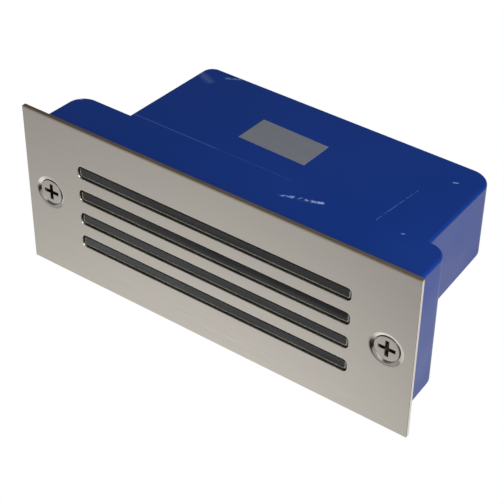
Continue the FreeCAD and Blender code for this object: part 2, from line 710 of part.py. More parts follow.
def lens_ribs(body):
    """Stepped ribs: the front end holds the lens, the step holds the spreader."""
    root = "dims.tray_height/2 - dims.rib_root"
    start = "-(dims.rib_count - 1)*dims.rib_pitch/2 - dims.rib_thick/2"
    for name, sign, tail in (("upper", "", True), ("lower", "-", False)):
        rib = new_sketch(body, f"{name}_rib_outline", "YZ_Plane", start)
        wall = f"{sign}({root})"
        reach = f"{sign}dims.rib_reach"
        step = f"{sign}dims.rib_step"
        foot = f"{TRAY_BACK} - {MID_WALL}"
        corners = [(LENS_BACK, wall), (LENS_BACK, reach), (SPREADER_BACK, reach),
                   (SPREADER_BACK, step), (foot, step)]
        corners.append(("dims.rib_tail", wall) if tail else (foot, wall))
        polygon(rib, corners)
        first_rib = pad(body, rib, f"{name}_rib", "dims.rib_thick", into_wall=False)
        pattern(body, "LinearPattern", f"{name}_ribs", [first_rib],
                Direction=(origin_feature(body, "X_Axis"), [""]),
                Length="(dims.rib_count - 1)*dims.rib_pitch", Occurrences="dims.rib_count")


def board_supports(body):
    """Posts for the spreader, ledges for the driver board and the cable saddle."""
    places = ("dims.spreader_screw_x", "-dims.spreader_screw_x")
    post = new_sketch(body, "post_outline", "XZ_Plane", SPREADER_BACK)
    for x in places:
        circle(post, x, "-dims.spreader_screw_z", "dims.post_radius")
    pad(body, post, "posts", f"{TRAY_BACK} - {MID_WALL} - ({SPREADER_BACK})")
    hole = new_sketch(body, "post_hole_outline", "XZ_Plane", SPREADER_BACK)
    for x in places:
        circle(hole, x, "-dims.spreader_screw_z", "dims.post_hole")
    pocket(body, hole, "post_holes", "dims.post_hole_depth")

    under = "dims.ledge_root - dims.box_bottom"
    ledge = new_sketch(body, "ledge_outline", "XZ_Plane", "dims.ledge_front")
    rectangle(ledge, "dims.driver_left - 1", under,
              "dims.driver_left + dims.ledge_reach", "dims.driver_seat")
    rectangle(ledge, "dims.driver_right - dims.ledge_reach", under,
              "dims.box_right - dims.ledge_root", "dims.driver_seat")
    rectangle(ledge, "-dims.saddle_left", under, "dims.saddle_width - dims.saddle_left", "dims.saddle_top")
    pad(body, ledge, "ledges", f"dims.box_depth - {MID_WALL} + {RIM} - dims.ledge_front")

    for name, top, places in (("driver", "dims.driver_seat", DRIVER_SCREWS),
                              ("clamp", "dims.saddle_top", CLAMP_SCREWS)):
        pilot = new_sketch(body, f"{name}_pilot_outline", "XY_Plane", top)
        for x, depth in places:
            circle(pilot, x, depth, "dims.pilot_radius")
        pocket(body, pilot, f"{name}_pilots", "dims.pilot_depth")


def cable_inlet(body):
    """A flat round pad through the left wall, bored for the grommet."""
    disc = new_sketch(body, "inlet_outline", "YZ_Plane", "-dims.inlet_face")
    circle(disc, "dims.cable_depth", CABLE_HEIGHT, "dims.inlet_radius")
    pad(body, disc, "inlet_pad", "dims.inlet_wall", into_wall=False)
    bore = new_sketch(body, "inlet_bore_outline", "YZ_Plane", "-dims.inlet_face")
    circle(bore, "dims.cable_depth", CABLE_HEIGHT, "dims.inlet_hole")
    pocket(body, bore, "inlet_bore", "dims.inlet_wall", back=True)


def make_sheet(label, plane, level, thickness, corners, holes, window=None):
    """A flat board or plate with round holes given as x, height or depth, radius."""
    body = new_body(label)
    outline = new_sketch(body, label + "_outline", plane, level)
    rectangle(outline, *corners)
    for hole in holes:
        circle(outline, *hole)
    if window:
        rectangle(outline, *window)
    pad(body, outline, label + "_sheet", thickness, into_wall=plane == "XZ_Plane")
    return body


def hexagon(name, radius, height, spot, turn):
    """A six-sided bar, with the radius taken to its corners."""
    result = doc.addObject("Part::Prism", name)
    bind(result, Circumradius=radius, Height=height)
    result.Placement = Placement(Vector(0, 0, 0), turn)
    move(result, *spot)
    return result


def fasteners(label, kind, turn, spots):
    """Hexagon-head screws, all in one node. A spot is where the head meets its seat.

    The shank is six-sided too: it stands for a thread-forming one, without its thread.
    """
    head_high = f"dims.{kind}_head_high"
    screws = []
    for number, (x, y, z) in enumerate(spots, 1):
        name = f"{label}_{number}"
        head_at = (x, f"{y} - {head_high}", z) if turn == INTO_WALL else (x, y, f"{z} + {head_high}")
        head = hexagon(name + "_head", f"dims.{kind}_head", head_high, head_at, turn)
        shank = hexagon(name + "_shank", f"dims.{kind}_shank", f"dims.{kind}_shank_long", (x, y, z), turn)
        screw = doc.addObject("Part::Fuse", name)
        screw.Base = head
        screw.Tool = shank
        screws.append(screw)
    return group(label, screws)


def group(label, members):
    result = doc.addObject("Part::Compound", label + "_group")
    result.Links = members
    return keep(result, label)


def make_emitters():
    """Two rows of surface-mount emitters."""
    emitters = []
    for row_sign in ("", "-"):
        for column in range(int(value("dims.led_columns"))):
            x = f"({column} - (dims.led_columns - 1)/2)*dims.led_pitch"
            name = f"led_{'upper' if not row_sign else 'lower'}_{column + 1}"
            emitter = doc.addObject("Part::Box", name)
            bind(emitter, Length="dims.led_length", Width="dims.led_thick", Height="dims.led_height")
            move(emitter, f"{x} - dims.led_length/2", "dims.led_board_depth - dims.led_thick",
                 f"{row_sign}dims.led_row - dims.led_height/2")
            emitters.append(emitter)
    return group("led_emitters", emitters)


def make_lead(label, x):
    """A six-sided lead: up from the driver board, one bend, then forward to the emitter board."""
    body = new_body(label)
    path = new_sketch(body, label + "_path", "YZ_Plane", x)
    start = ("dims.lead_start", BOARD_TOP)
    bend_start = ("dims.lead_start", "dims.lead_rise - dims.lead_bend")
    bend_end = ("dims.lead_start - dims.lead_bend", "dims.lead_rise")
    end = ("dims.led_board_depth - dims.lead_end", "dims.lead_rise")
    points = [Vector(value(y), value(z), 0) for y, z in (start, bend_start, bend_end, end)]
    bend = value("dims.lead_bend")
    centre = points[1] - Vector(bend, 0, 0)
    middle = centre + Vector(1, 1, 0).normalize() * bend
    path.addGeometry(Part.LineSegment(points[0], points[1]), False)
    path.addGeometry(Part.ArcOfCircle(points[1], middle, points[2]), False)
    path.addGeometry(Part.LineSegment(points[2], points[3]), False)
    for geometry, point, place in ((0, 1, start), (0, 2, bend_start), (2, 1, bend_end), (2, 2, end)):
        locate(path, geometry, point, *place)
    path.addConstraint(Sketcher.Constraint("Coincident", 0, 2, 1, 1))
    path.addConstraint(Sketcher.Constraint("Coincident", 1, 2, 2, 1))
    dimension(path, "Radius", (1,), "dims.lead_bend")
    section = new_sketch(body, label + "_section", "XY_Plane", BOARD_TOP)
    corner = "dims.lead_radius*{}({})"
    polygon(section, [(f"{x} + " + corner.format("cos", turn), "dims.lead_start + " + corner.format("sin", turn))
                      for turn in range(0, 360, 60)])
    doc.recompute()
    feature(body, "AdditivePipe", label + "_tube", section, Spine=(path, ["Edge1", "Edge2", "Edge3"]))
    return body


def make_label():
    """Blank foil label on the leaning top of the driver box."""
    body = new_body("rating_label")
    outline = new_sketch(body, "label_outline", "XY_Plane")
    centred_rectangle(outline, "dims.label_length", "dims.label_width")
    pad(body, outline, "label_foil", "dims.label_thick", into_wall=False)
    askew = Rotation(Vector(0, 0, 1), value("dims.label_turn"))
    leaning = Rotation(Vector(1, 0, 0), -value("dims.draft_angle"))
    body.Placement = Placement(Vector(0, 0, 0), leaning * askew)
    move(body, "dims.label_x", "dims.label_depth", f"dims.tray_height/2 - {lean('dims.label_depth')}")
    return body


def make_grommet():
    """Rubber bush: flange outside, neck through the wall, collar inside."""
    neck = "dims.inlet_hole - dims.neck_play"
    outer = "-dims.flange_thick"
    inner = "dims.inlet_wall + dims.collar_thick"
    body = turned("cable_grommet", "XY_Plane", "H_Axis", [
        (outer, "dims.cable_radius"),
        (outer, "dims.flange_radius"),
        ("0", "dims.flange_radius"),
        ("0", neck),
        ("dims.inlet_wall", neck),
        ("dims.inlet_wall", "dims.collar_radius"),
        (inner, "dims.collar_radius"),
        (inner, "dims.cable_radius"),
    ])
    move(body, "-dims.inlet_face", "dims.cable_depth", CABLE_HEIGHT)
    return body


def make_clamp():
    """Bridge over the supply cable, screwed down on the saddle."""
    body = new_body("cable_clamp")
    bridge = new_sketch(body, "clamp_outline", "YZ_Plane", "-dims.saddle_left")
    half = "dims.clamp_length/2"
    top = "dims.saddle_top + dims.clamp_height"
    rectangle(bridge, f"dims.cable_depth - {half}", "dims.saddle_top", f"dims.cable_depth + {half}", top)
    pad(body, bridge, "clamp_bridge", "dims.saddle_width", into_wall=False)
    mouth = new_sketch(body, "mouth_outline", "YZ_Plane", "-dims.saddle_left")
    roof = "dims.saddle_top + dims.clamp_mouth"
    front = "dims.cable_depth - dims.clamp_gap"
    back = "dims.cable_depth + dims.clamp_gap"
    polygon(mouth, [(front, "dims.saddle_top"), (back, "dims.saddle_top"),
                    (back, f"{roof} - dims.mouth_slope"), (f"{back} - dims.mouth_slope", roof),
                    (f"{front} + dims.mouth_slope", roof), (front, f"{roof} - dims.mouth_slope")])
    pocket(body, mouth, "mouth", "dims.saddle_width", back=True)
    holes = new_sketch(body, "clamp_hole_outline", "XY_Plane", top)
    for x, depth in CLAMP_SCREWS:
        circle(holes, x, depth, "dims.clearance_hole")
    pocket(body, holes, "clamp_holes", "dims.clamp_height")
    soften(body, "Chamfer", "clamp_edges", "dims.clamp_edge",
           lambda a, b: near(a.z, top) and near(b.z, top) and near(a.y, b.y) and not near(a.x, b.x))
    return body


def make_terminal_block():
    """Two-pole block: sloping shoulders, a wire mouth and a screw well for each pole."""
    body = new_body("terminal_block")
    long = "dims.terminal_length"
    high = "dims.terminal_height"
    poles = ("-dims.terminal_pitch/2", "dims.terminal_pitch/2")
    profile = new_sketch(body, "terminal_profile", "XZ_Plane", "-dims.terminal_width/2")
    polygon(profile, [("0", "0"), (long, "0"), (long, f"0.7*{high}"), (f"0.85*{long}", high),
                      (f"0.25*{long}", high), ("0", f"0.75*{high}")])
    pad(body, profile, "terminal_case", "dims.terminal_width")
    wells = new_sketch(body, "well_outline", "XY_Plane", high)
    for y in poles:
        circle(wells, f"0.55*{long}", y, "dims.well_radius")
    pocket(body, wells, "wells", "dims.well_depth")
    mouths = new_sketch(body, "wire_mouth_outline", "YZ_Plane")
    for y in poles:
        rectangle(mouths, f"{y} - dims.mouth_width/2", "dims.mouth_low",
                  f"{y} + dims.mouth_width/2", "dims.mouth_high")
    pocket(body, mouths, "wire_mouths", "dims.mouth_deep", back=True)
    move(body, "dims.terminal_x", "dims.cable_depth", BOARD_TOP)
    return body


def make_terminal_screws():
    """Slotted clamping screws at the bottom of the wells."""
    x = "dims.terminal_x + 0.55*dims.terminal_length"
    z = f"{BOARD_TOP} + dims.terminal_height - dims.well_depth"
    slot_z = f"{z} + dims.clamping_height - dims.screw_slot_deep"
    screws = []
    for name, sign in (("front_pole", "-"), ("back_pole", "+")):
        y = f"dims.cable_depth {sign} dims.terminal_pitch/2"
        shank = doc.addObject("Part::Cylinder", name + "_shank")
        bind(shank, Radius="dims.clamping_radius", Height="dims.clamping_height")
        move(shank, x, y, z)
        slot = doc.addObject("Part::Box", name + "_slot")
        bind(slot, Length="3*dims.clamping_radius", Width="dims.screw_slot", Height="dims.clamping_height")
        move(slot, f"{x} - 1.5*dims.clamping_radius", f"{y} - dims.screw_slot/2", slot_z)
        screw = doc.addObject("Part::Cut", name + "_screw")
        screw.Base = shank
        screw.Tool = slot
        screws.append(screw)
    return group("terminal_screws", screws)


def make_can(label, radius, height, x, y):
    """A round part in a shrink sleeve, with a sloping shoulder: the capacitors and the choke."""
    edge = "dims.can_edge"
    body = turned(label, "XZ_Plane", "V_Axis", [
        ("0", "0"),
        (radius, "0"),
        (radius, f"{height} - {edge}"),
        (f"{radius} - {edge}", height),
        ("0", height),
    ])
    move(body, x, y, BOARD_TOP)
    return body


def make_fuse_resistor():
    """Axial resistor on one wire, which is bent down to the board at both ends."""
    half = "dims.fuse_length/2"
    thick = "dims.fuse_radius"
    wire = "dims.wire_radius"
    end = f"({half} + dims.wire_reach)"
    leg = f"({end} - 2*{wire})"
    axis = f"({thick} + {wire})"
    body = turned("fuse_resistor", "XY_Plane", "H_Axis", [
        (f"-{half}", "0"),
        (f"-{half}", thick),
        (half, thick),
        (half, "0"),
    ])
    staple = new_sketch(body, "fuse_wire_outline", "XZ_Plane", f"-{wire}")
    polygon(staple, [(f"-{end}", f"-{axis}"), (f"-{leg}", f"-{axis}"), (f"-{leg}", f"-{wire}"),
                     (leg, f"-{wire}"), (leg, f"-{axis}"), (end, f"-{axis}"), (end, wire), (f"-{end}", wire)])
    pad(body, staple, "fuse_wire", f"2*{wire}")
    move(body, "dims.fuse_x", "dims.fuse_y", f"{BOARD_TOP} + {axis}")
    return body


def make_case(label, kind):
    """A rectangular case that stands on the driver board."""
    body = new_body(label)
    outline = new_sketch(body, label + "_outline", "XY_Plane")
    centred_rectangle(outline, f"dims.{kind}_length", f"dims.{kind}_width")
    pad(body, outline, label + "_case", f"dims.{kind}_height", into_wall=False)
    move(body, f"dims.{kind}_x", f"dims.{kind}_y", BOARD_TOP)
    return body


def make_package(label, kind, legs):
    """A moulded package with flat legs along its two long sides."""
    body = make_case(label, kind)
    outline = new_sketch(body, label + "_legs_outline", "XY_Plane")
    side = f"(dims.{kind}_width/2 + dims.leg_reach)"
    for leg in range(legs):
        middle = f"{leg - (legs - 1) / 2}*dims.{kind}_pitch"
        rectangle(outline, f"{middle} - dims.leg_width/2", f"-{side}", f"{middle} + dims.leg_width/2", side)
    pad(body, outline, label + "_legs", "dims.leg_thick", into_wall=False)
    return body


def core_ring(body, name, level, height, outer, inner):
    """A rectangular ring round the middle leg of the transformer core."""
    sketch = new_sketch(body, name + "_outline", "XY_Plane", level)
    for wide, long in (outer, inner):
        rectangle(sketch, f"dims.core_x - ({wide})/2", f"dims.core_y - ({long})/2",
                  f"dims.core_x + ({wide})/2", f"dims.core_y + ({long})/2")
    pad(body, sketch, name, height, into_wall=False)


def make_transformer():
    """Ferrite core with two windows, a bobbin on its middle leg, and the coil."""
    base = f"{BOARD_TOP} + dims.bobbin_base"
    low = f"{base} + dims.core_yoke"
    high = f"{base} + dims.core_height - dims.core_yoke"
    left = "dims.core_x - dims.core_width/2"
    right = "dims.core_x + dims.core_width/2"
    core = new_body("transformer_core")
    profile = new_sketch(core, "core_profile", "XZ_Plane", "dims.core_y - dims.core_deep/2")
    rectangle(profile, left, base, right, f"{base} + dims.core_height")
    rectangle(profile, f"{left} + dims.core_side", low, "dims.core_x - dims.core_leg/2", high)
    rectangle(profile, "dims.core_x + dims.core_leg/2", low, f"{right} - dims.core_side", high)
    pad(core, profile, "core_stack", "dims.core_deep")

    wall = "dims.bobbin_wall"
    play = "2*dims.bobbin_play"
    window = "dims.core_width - 2*dims.core_side"
    leg = (f"dims.core_leg + {play}", f"dims.core_deep + {play}")
    tube = (f"{leg[0]} + 2*{wall}", f"{leg[1]} + 2*{wall}")
    flange = (f"{window} - {play}", "dims.winding_deep + 2*dims.flange_beyond")
    bobbin = new_body("transformer_bobbin")
    core_ring(bobbin, "bobbin_tube", low, f"{high} - ({low})", tube, leg)
    core_ring(bobbin, "lower_flange", low, wall, flange, leg)
    core_ring(bobbin, "upper_flange", f"{high} - {wall}", wall, flange, leg)
    rails = new_sketch(bobbin, "pin_rail_outline", "XY_Plane", BOARD_TOP)
    inner = "(dims.core_deep/2 + dims.bobbin_play)"
    outer = f"({flange[1]})/2"
    rectangle(rails, left, f"dims.core_y - {outer}", right, f"dims.core_y - {inner}")
    rectangle(rails, left, f"dims.core_y + {inner}", right, f"dims.core_y + {outer}")
    pad(bobbin, rails, "pin_rails", "dims.bobbin_base + dims.core_yoke", into_wall=False)

    coil = new_body("transformer_winding")
    core_ring(coil, "coil", f"{low} + {wall}", f"{high} - ({low}) - 2*{wall}",
              (f"{flange[0]} - 2*dims.flange_beyond", "dims.winding_deep"), tube)
    middle = value("dims.core_x")
    reach = value(tube[0]) / 2 + 1
    soften(coil, "Fillet", "coil_corners", "dims.winding_corner",
           lambda a, b: not near(a.z, b.z, 1) and abs(a.x - middle) > reach)


make_faceplate()
make_frame("wall_gasket", RIM, "dims.gasket_thick",
           ("dims.plate_width - 2*dims.gasket_inset", "dims.plate_height - 2*dims.gasket_inset"),
           ("dims.tray_width + 2*dims.gasket_gap", "dims.tray_height + 2*dims.gasket_gap"))
make_frame("lens_seal", RIM, "dims.seal_thick", ("dims.seal_width", "dims.seal_height"),
           ("dims.seal_width - 2*dims.seal_border", "dims.seal_height - 2*dims.seal_border"))
make_lens()
make_face_screw("left", "-")
make_face_screw("right", "")
make_housing()
make_label()
make_grommet()
make_clamp()
clamp_top = "dims.saddle_top + dims.clamp_height"
fasteners("cable_clamp_screws", "clamp", DOWNWARDS, [(x, depth, clamp_top) for x, depth in CLAMP_SCREWS])

make_sheet("led_board", "XZ_Plane", "dims.led_board_depth", "dims.led_board_thick",
           ("-dims.led_board_width/2", "-dims.led_board_height/2",
            "dims.led_board_width/2", "dims.led_board_height/2"),
           [(x, z, "dims.led_hole") for x, z in LED_SCREWS], LEAD_WINDOW)
make_emitters()
fasteners("led_board_screws", "led", INTO_WALL, [(x, "dims.led_board_depth", z) for x, z in LED_SCREWS])
make_sheet("heat_spreader", "XZ_Plane", SPREADER_FRONT, "dims.spreader_thick",
           ("-dims.spreader_width/2", "-dims.spreader_height/2",
            "dims.spreader_width/2", "dims.spreader_height/2"),
           [(x, z, "dims.led_pilot") for x, z in LED_SCREWS]
           + [(x, z, "dims.spreader_hole") for x, z in SPREADER_SCREWS], LEAD_WINDOW)
fasteners("spreader_screws", "spreader", INTO_WALL, [(x, SPREADER_FRONT, z) for x, z in SPREADER_SCREWS])

make_sheet("driver_board", "XY_Plane", "dims.driver_seat", "dims.driver_thick",
           ("dims.driver_left", "dims.driver_front", "dims.driver_right", "dims.driver_back"),
           [(x, depth, "dims.clearance_hole") for x, depth in DRIVER_SCREWS])
fasteners("driver_board_screws", "driver", DOWNWARDS, [(x, depth, BOARD_TOP) for x, depth in DRIVER_SCREWS])
make_terminal_block()
make_terminal_screws()
make_fuse_resistor()
make_case("film_capacitor", "film")
make_package("bridge_rectifier", "bridge", legs=2)
make_can("input_capacitor", "dims.input_radius", "dims.input_height", "dims.input_x", "dims.input_y")
make_can("filter_choke", "dims.choke_radius", "dims.choke_height", "dims.choke_x", "dims.choke_y")
make_package("driver_ic", "chip", legs=4)
make_transformer()
make_can("output_capacitor", "dims.output_radius", "dims.output_height", "dims.output_x", "dims.output_y")
make_lead("led_lead_positive", LEADS[0])
make_lead("led_lead_negative", LEADS[1])

doc.recompute()
for item in doc.Objects:
    if "Invalid" in item.State or "Error" in item.State:
        raise RuntimeError(f"{item.Name} failed: {item.State}")
os.makedirs("parts", exist_ok=True)
for piece in pieces:
    if piece.Shape.isNull() or not piece.Shape.isValid():
        raise RuntimeError(f"{piece.Label} has no valid shape")
    piece.Shape.exportStep(f"parts/{piece.Label}.step")
    box = piece.Shape.optimalBoundingBox(False, False)
    spans = [(box.XMin, box.XMax), (box.YMin, box.YMax), (box.ZMin, box.ZMax)]
    bounds = " ".join(f"{low:6.1f}..{high:5.1f}" for low, high in spans)
    print(f"{piece.Label:22s} {piece.Shape.Volume:9.2f} mm3 {len(piece.Shape.Solids):3d} solids {bounds}")
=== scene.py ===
# %% [markdown]
# # A recessed step light
# The imported model is the frame: every solid comes in at its true place, in metres.
# The faceplate looks towards -Y and the driver box goes into the wall along +Y.

# %% Load the frame
import math

import bmesh
import bpy
from mathutils import Matrix, Vector


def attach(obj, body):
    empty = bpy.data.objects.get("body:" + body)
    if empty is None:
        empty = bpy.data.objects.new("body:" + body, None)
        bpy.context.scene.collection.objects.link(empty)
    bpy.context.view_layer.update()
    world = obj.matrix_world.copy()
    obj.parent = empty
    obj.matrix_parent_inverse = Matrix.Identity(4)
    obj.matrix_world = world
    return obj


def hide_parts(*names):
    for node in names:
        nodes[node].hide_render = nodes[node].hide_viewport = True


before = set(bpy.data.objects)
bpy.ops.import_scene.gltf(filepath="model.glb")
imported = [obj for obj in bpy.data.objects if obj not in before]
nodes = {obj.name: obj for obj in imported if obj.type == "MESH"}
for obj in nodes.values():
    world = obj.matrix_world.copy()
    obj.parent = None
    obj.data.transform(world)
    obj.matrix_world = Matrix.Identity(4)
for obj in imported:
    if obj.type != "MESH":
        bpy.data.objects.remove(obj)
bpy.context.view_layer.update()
MM = 0.001

# %% [markdown]
# ## Camera
# The photograph was taken from the front right and above. The angle, the distance and the
# focal length come from fitting a camera to the outline of the light in it. An aim point
# just behind the plate, a distance and three angles are easier to read than a matrix.

# %% Camera
AZIMUTH = math.radians(35.385)
ELEVATION = math.radians(38.155)
ROLL = math.radians(0.82)
DISTANCE = 335.17 * MM
AIM = Vector((11.64, -0.8, 8.93)) * MM
PICTURE = 504
FOCAL_PIXELS = 1507.99

towards = Vector((
    math.sin(AZIMUTH) * math.cos(ELEVATION),
    -math.cos(AZIMUTH) * math.cos(ELEVATION),
    math.sin(ELEVATION),
))
right = Vector((math.cos(AZIMUTH), math.sin(AZIMUTH), 0))
up = towards.cross(right)
rolled_right = math.cos(ROLL) * right + math.sin(ROLL) * up
rolled_up = math.cos(ROLL) * up - math.sin(ROLL) * right

lens_data = bpy.data.cameras.new("camera")
lens_data.sensor_width = 36
lens_data.lens = FOCAL_PIXELS / PICTURE * lens_data.sensor_width
lens_data.clip_start = 0.01
camera = bpy.data.objects.new("camera", lens_data)
axes = Matrix((rolled_right, rolled_up, towards)).transposed().to_4x4()
camera.matrix_world = Matrix.Translation(AIM + DISTANCE * towards) @ axes
bpy.context.scene.collection.objects.link(camera)
bpy.context.scene.camera = camera
print(
    "camera at", [round(number, 4) for number in camera.location], "lens", round(lens_data.lens, 1))

# %% [markdown]
# ## Helpers for materials
# A finish is a Principled shader with a few nodes that vary its colour, roughness and
# bump. Numbers that are the same all over go straight on the shader's own sockets.
# Patterns read Object coordinates, so they are in metres and stay fixed on the part.

# %% Small node helpers
def plain(name, colour, roughness, **sockets):
    """A material with the constants set on its shader."""
    material = bpy.data.materials.new(name)
    material.use_nodes = True
    shader = material.node_tree.nodes["Principled BSDF"]
    shader.inputs["Base Color"].default_value = (*colour, 1)
    shader.inputs["Roughness"].default_value = roughness
    for socket, number in sockets.items():
        shader.inputs[socket.replace("_", " ")].default_value = number
    return material


def add(tree, kind, **settings):
    """A node with its settings and unlinked inputs filled in."""
    node = tree.nodes.new(kind)
    inputs = settings.pop("inputs", {})
    for name, setting in settings.items():
        setattr(node, name, setting)
    for socket, number in inputs.items():
        node.inputs[socket].default_value = number
    return node


def new_group(name, sockets_in, sockets_out):
    """A shader node group with named inputs and outputs."""
    tree = bpy.data.node_groups.new(name, "ShaderNodeTree")
    for label, kind, number in sockets_in:
        socket = tree.interface.new_socket(label, in_out="INPUT", socket_type=kind)
        socket.default_value = number
    for label, kind in sockets_out:
        tree.interface.new_socket(label, in_out="OUTPUT", socket_type=kind)
    return tree, tree.nodes.new("NodeGroupInput"), tree.nodes.new("NodeGroupOutput")


def place(material, group, **values):
    """Put a node group in a material with its own values."""
    tree = material.node_tree
    node = add(tree, "ShaderNodeGroup")
    node.node_tree = group
    for label, number in values.items():
        node.inputs[label].default_value = number
    return node


FLOAT = "NodeSocketFloat"
COLOUR = "NodeSocketColor"
VECTOR = "NodeSocketVector"

# %% [markdown]
# ## Shared effects
# Two effects return on many pieces. `grain` is a stretched noise: brush lines on steel,
# or streaks in a sleeve. `skin` is the fine uneven surface of moulded plastic. Each is
# one node group, which every material then uses with values of its own.

# %% Grain: noise stretched along one axis
grain, grain_in, grain_out = new_group(
    "grain",
    [("Across", FLOAT, 4000), ("Along", FLOAT, 60), ("Low", COLOUR, (0.4, 0.4, 0.4, 1)),
     ("High", COLOUR, (0.6, 0.6, 0.6, 1)), ("Smooth", FLOAT, 0.25), ("Rough", FLOAT, 0.4)],
    [("Color", COLOUR), ("Roughness", FLOAT), ("Height", FLOAT)])
grain_place = add(grain, "ShaderNodeTexCoord")
grain_scale = add(grain, "ShaderNodeCombineXYZ")
grain_stretch = add(grain, "ShaderNodeVectorMath", operation="MULTIPLY")
grain_noise = add(
    grain, "ShaderNodeTexNoise", inputs={"Scale": 1.0, "Detail": 3.0, "Roughness": 0.6})
grain_colour = add(grain, "ShaderNodeMix", data_type="RGBA")
grain_rough = add(grain, "ShaderNodeMapRange", inputs={"From Min": 0.3, "From Max": 0.7})
grain.links.new(grain_in.outputs["Along"], grain_scale.inputs["X"])
grain.links.new(grain_in.outputs["Across"], grain_scale.inputs["Y"])
grain.links.new(grain_in.outputs["Across"], grain_scale.inputs["Z"])
grain.links.new(grain_place.outputs["Object"], grain_stretch.inputs[0])
grain.links.new(grain_scale.outputs["Vector"], grain_stretch.inputs[1])
grain.links.new(grain_stretch.outputs["Vector"], grain_noise.inputs["Vector"])
grain.links.new(grain_noise.outputs["Fac"], grain_colour.inputs["Factor"])
grain.links.new(grain_in.outputs["Low"], grain_colour.inputs["A"])
grain.links.new(grain_in.outputs["High"], grain_colour.inputs["B"])
grain.links.new(grain_noise.outputs["Fac"], grain_rough.inputs["Value"])
grain.links.new(grain_in.outputs["Smooth"], grain_rough.inputs["To Min"])
grain.links.new(grain_in.outputs["Rough"], grain_rough.inputs["To Max"])
grain.links.new(grain_colour.outputs["Result"], grain_out.inputs["Color"])
grain.links.new(grain_rough.outputs["Result"], grain_out.inputs["Roughness"])
grain.links.new(grain_noise.outputs["Fac"], grain_out.inputs["Height"])
print("group", grain.name)

# %% Skin: the fine surface of a moulded piece
skin, skin_in, skin_out = new_group(
    "skin",
    [("Fine", FLOAT, 2500), ("Broad", FLOAT, 60), ("Low", COLOUR, (0.4, 0.4, 0.4, 1)),
     ("High", COLOUR, (0.5, 0.5, 0.5, 1)), ("Smooth", FLOAT, 0.3), ("Rough", FLOAT, 0.4)],
    [("Color", COLOUR), ("Roughness", FLOAT), ("Height", FLOAT)])
skin_place = add(skin, "ShaderNodeTexCoord")
skin_fine = add(skin, "ShaderNodeTexNoise", inputs={"Detail": 2.0})
skin_broad = add(skin, "ShaderNodeTexNoise", inputs={"Detail": 3.0})
skin_colour = add(skin, "ShaderNodeMix", data_type="RGBA")
skin_rough = add(skin, "ShaderNodeMapRange", inputs={"From Min": 0.35, "From Max": 0.65})
skin.links.new(skin_place.outputs["Object"], skin_fine.inputs["Vector"])
skin.links.new(skin_place.outputs["Object"], skin_broad.inputs["Vector"])
skin.links.new(skin_in.outputs["Fine"], skin_fine.inputs["Scale"])
skin.links.new(skin_in.outputs["Broad"], skin_broad.inputs["Scale"])
skin.links.new(skin_broad.outputs["Fac"], skin_colour.inputs["Factor"])
skin.links.new(skin_in.outputs["Low"], skin_colour.inputs["A"])
skin.links.new(skin_in.outputs["High"], skin_colour.inputs["B"])
skin.links.new(skin_broad.outputs["Fac"], skin_rough.inputs["Value"])
skin.links.new(skin_in.outputs["Smooth"], skin_rough.inputs["To Min"])
skin.links.new(skin_in.outputs["Rough"], skin_rough.inputs["To Max"])
skin.links.new(skin_colour.outputs["Result"], skin_out.inputs["Color"])
skin.links.new(skin_rough.outputs["Result"], skin_out.inputs["Roughness"])
skin.links.new(skin_fine.outputs["Fac"], skin_out.inputs["Height"])
print("group", skin.name)

# %% [markdown]
# ## Marks at a known place
# The photograph shows single scuffs and scratches on the housing, and the same lines also
# put two painted highlights on it. A group that measures the distance from a point to a
# short line puts each one where it is. Noise breaks the line up, so that it looks rubbed
# and not drawn. The tracks on the two boards come from a Voronoi texture: only the thin
# lines between its cells are kept.

# %% Scuff and painted highlight: one rubbed line from Start to End
scuff_and_highlight, mark_in, mark_out = new_group(
    "scuff_and_highlight",
    [("Start", VECTOR, (0, 0, 0)), ("End", VECTOR, (0, 0, 0)), ("Width", FLOAT, 0.0003),
     ("Amount", FLOAT, 1.0), ("Broken", FLOAT, 0.5)],
    [("Mask", FLOAT)])
mark_place = add(scuff_and_highlight, "ShaderNodeTexCoord")
mark_from = add(scuff_and_highlight, "ShaderNodeVectorMath", operation="SUBTRACT")
mark_direction = add(scuff_and_highlight, "ShaderNodeVectorMath", operation="SUBTRACT")
mark_along = add(scuff_and_highlight, "ShaderNodeVectorMath", operation="DOT_PRODUCT")
mark_square = add(scuff_and_highlight, "ShaderNodeVectorMath", operation="DOT_PRODUCT")
mark_part = add(scuff_and_highlight, "ShaderNodeMath", operation="DIVIDE", use_clamp=True)
mark_foot = add(scuff_and_highlight, "ShaderNodeVectorMath", operation="SCALE")
mark_away = add(scuff_and_highlight, "ShaderNodeVectorMath", operation="DISTANCE")
mark_soft = add(scuff_and_highlight, "ShaderNodeMapRange", inputs={"To Min": 1.0, "To Max": 0.0})
mark_noise = add(scuff_and_highlight, "ShaderNodeTexNoise", inputs={"Scale": 1400.0, "Detail": 3.0})
mark_edge = add(scuff_and_highlight, "ShaderNodeMath", operation="ADD", inputs={1: 0.12})
mark_gaps = add(scuff_and_highlight, "ShaderNodeMapRange")
mark_broken_up = add(scuff_and_highlight, "ShaderNodeMath", operation="MULTIPLY")
mark_level = add(scuff_and_highlight, "ShaderNodeMath", operation="MULTIPLY")
scuff_and_highlight.links.new(mark_place.outputs["Object"], mark_from.inputs[0])
scuff_and_highlight.links.new(mark_in.outputs["Start"], mark_from.inputs[1])
scuff_and_highlight.links.new(mark_in.outputs["End"], mark_direction.inputs[0])
scuff_and_highlight.links.new(mark_in.outputs["Start"], mark_direction.inputs[1])
scuff_and_highlight.links.new(mark_from.outputs["Vector"], mark_along.inputs[0])
scuff_and_highlight.links.new(mark_direction.outputs["Vector"], mark_along.inputs[1])
scuff_and_highlight.links.new(mark_direction.outputs["Vector"], mark_square.inputs[0])
scuff_and_highlight.links.new(mark_direction.outputs["Vector"], mark_square.inputs[1])
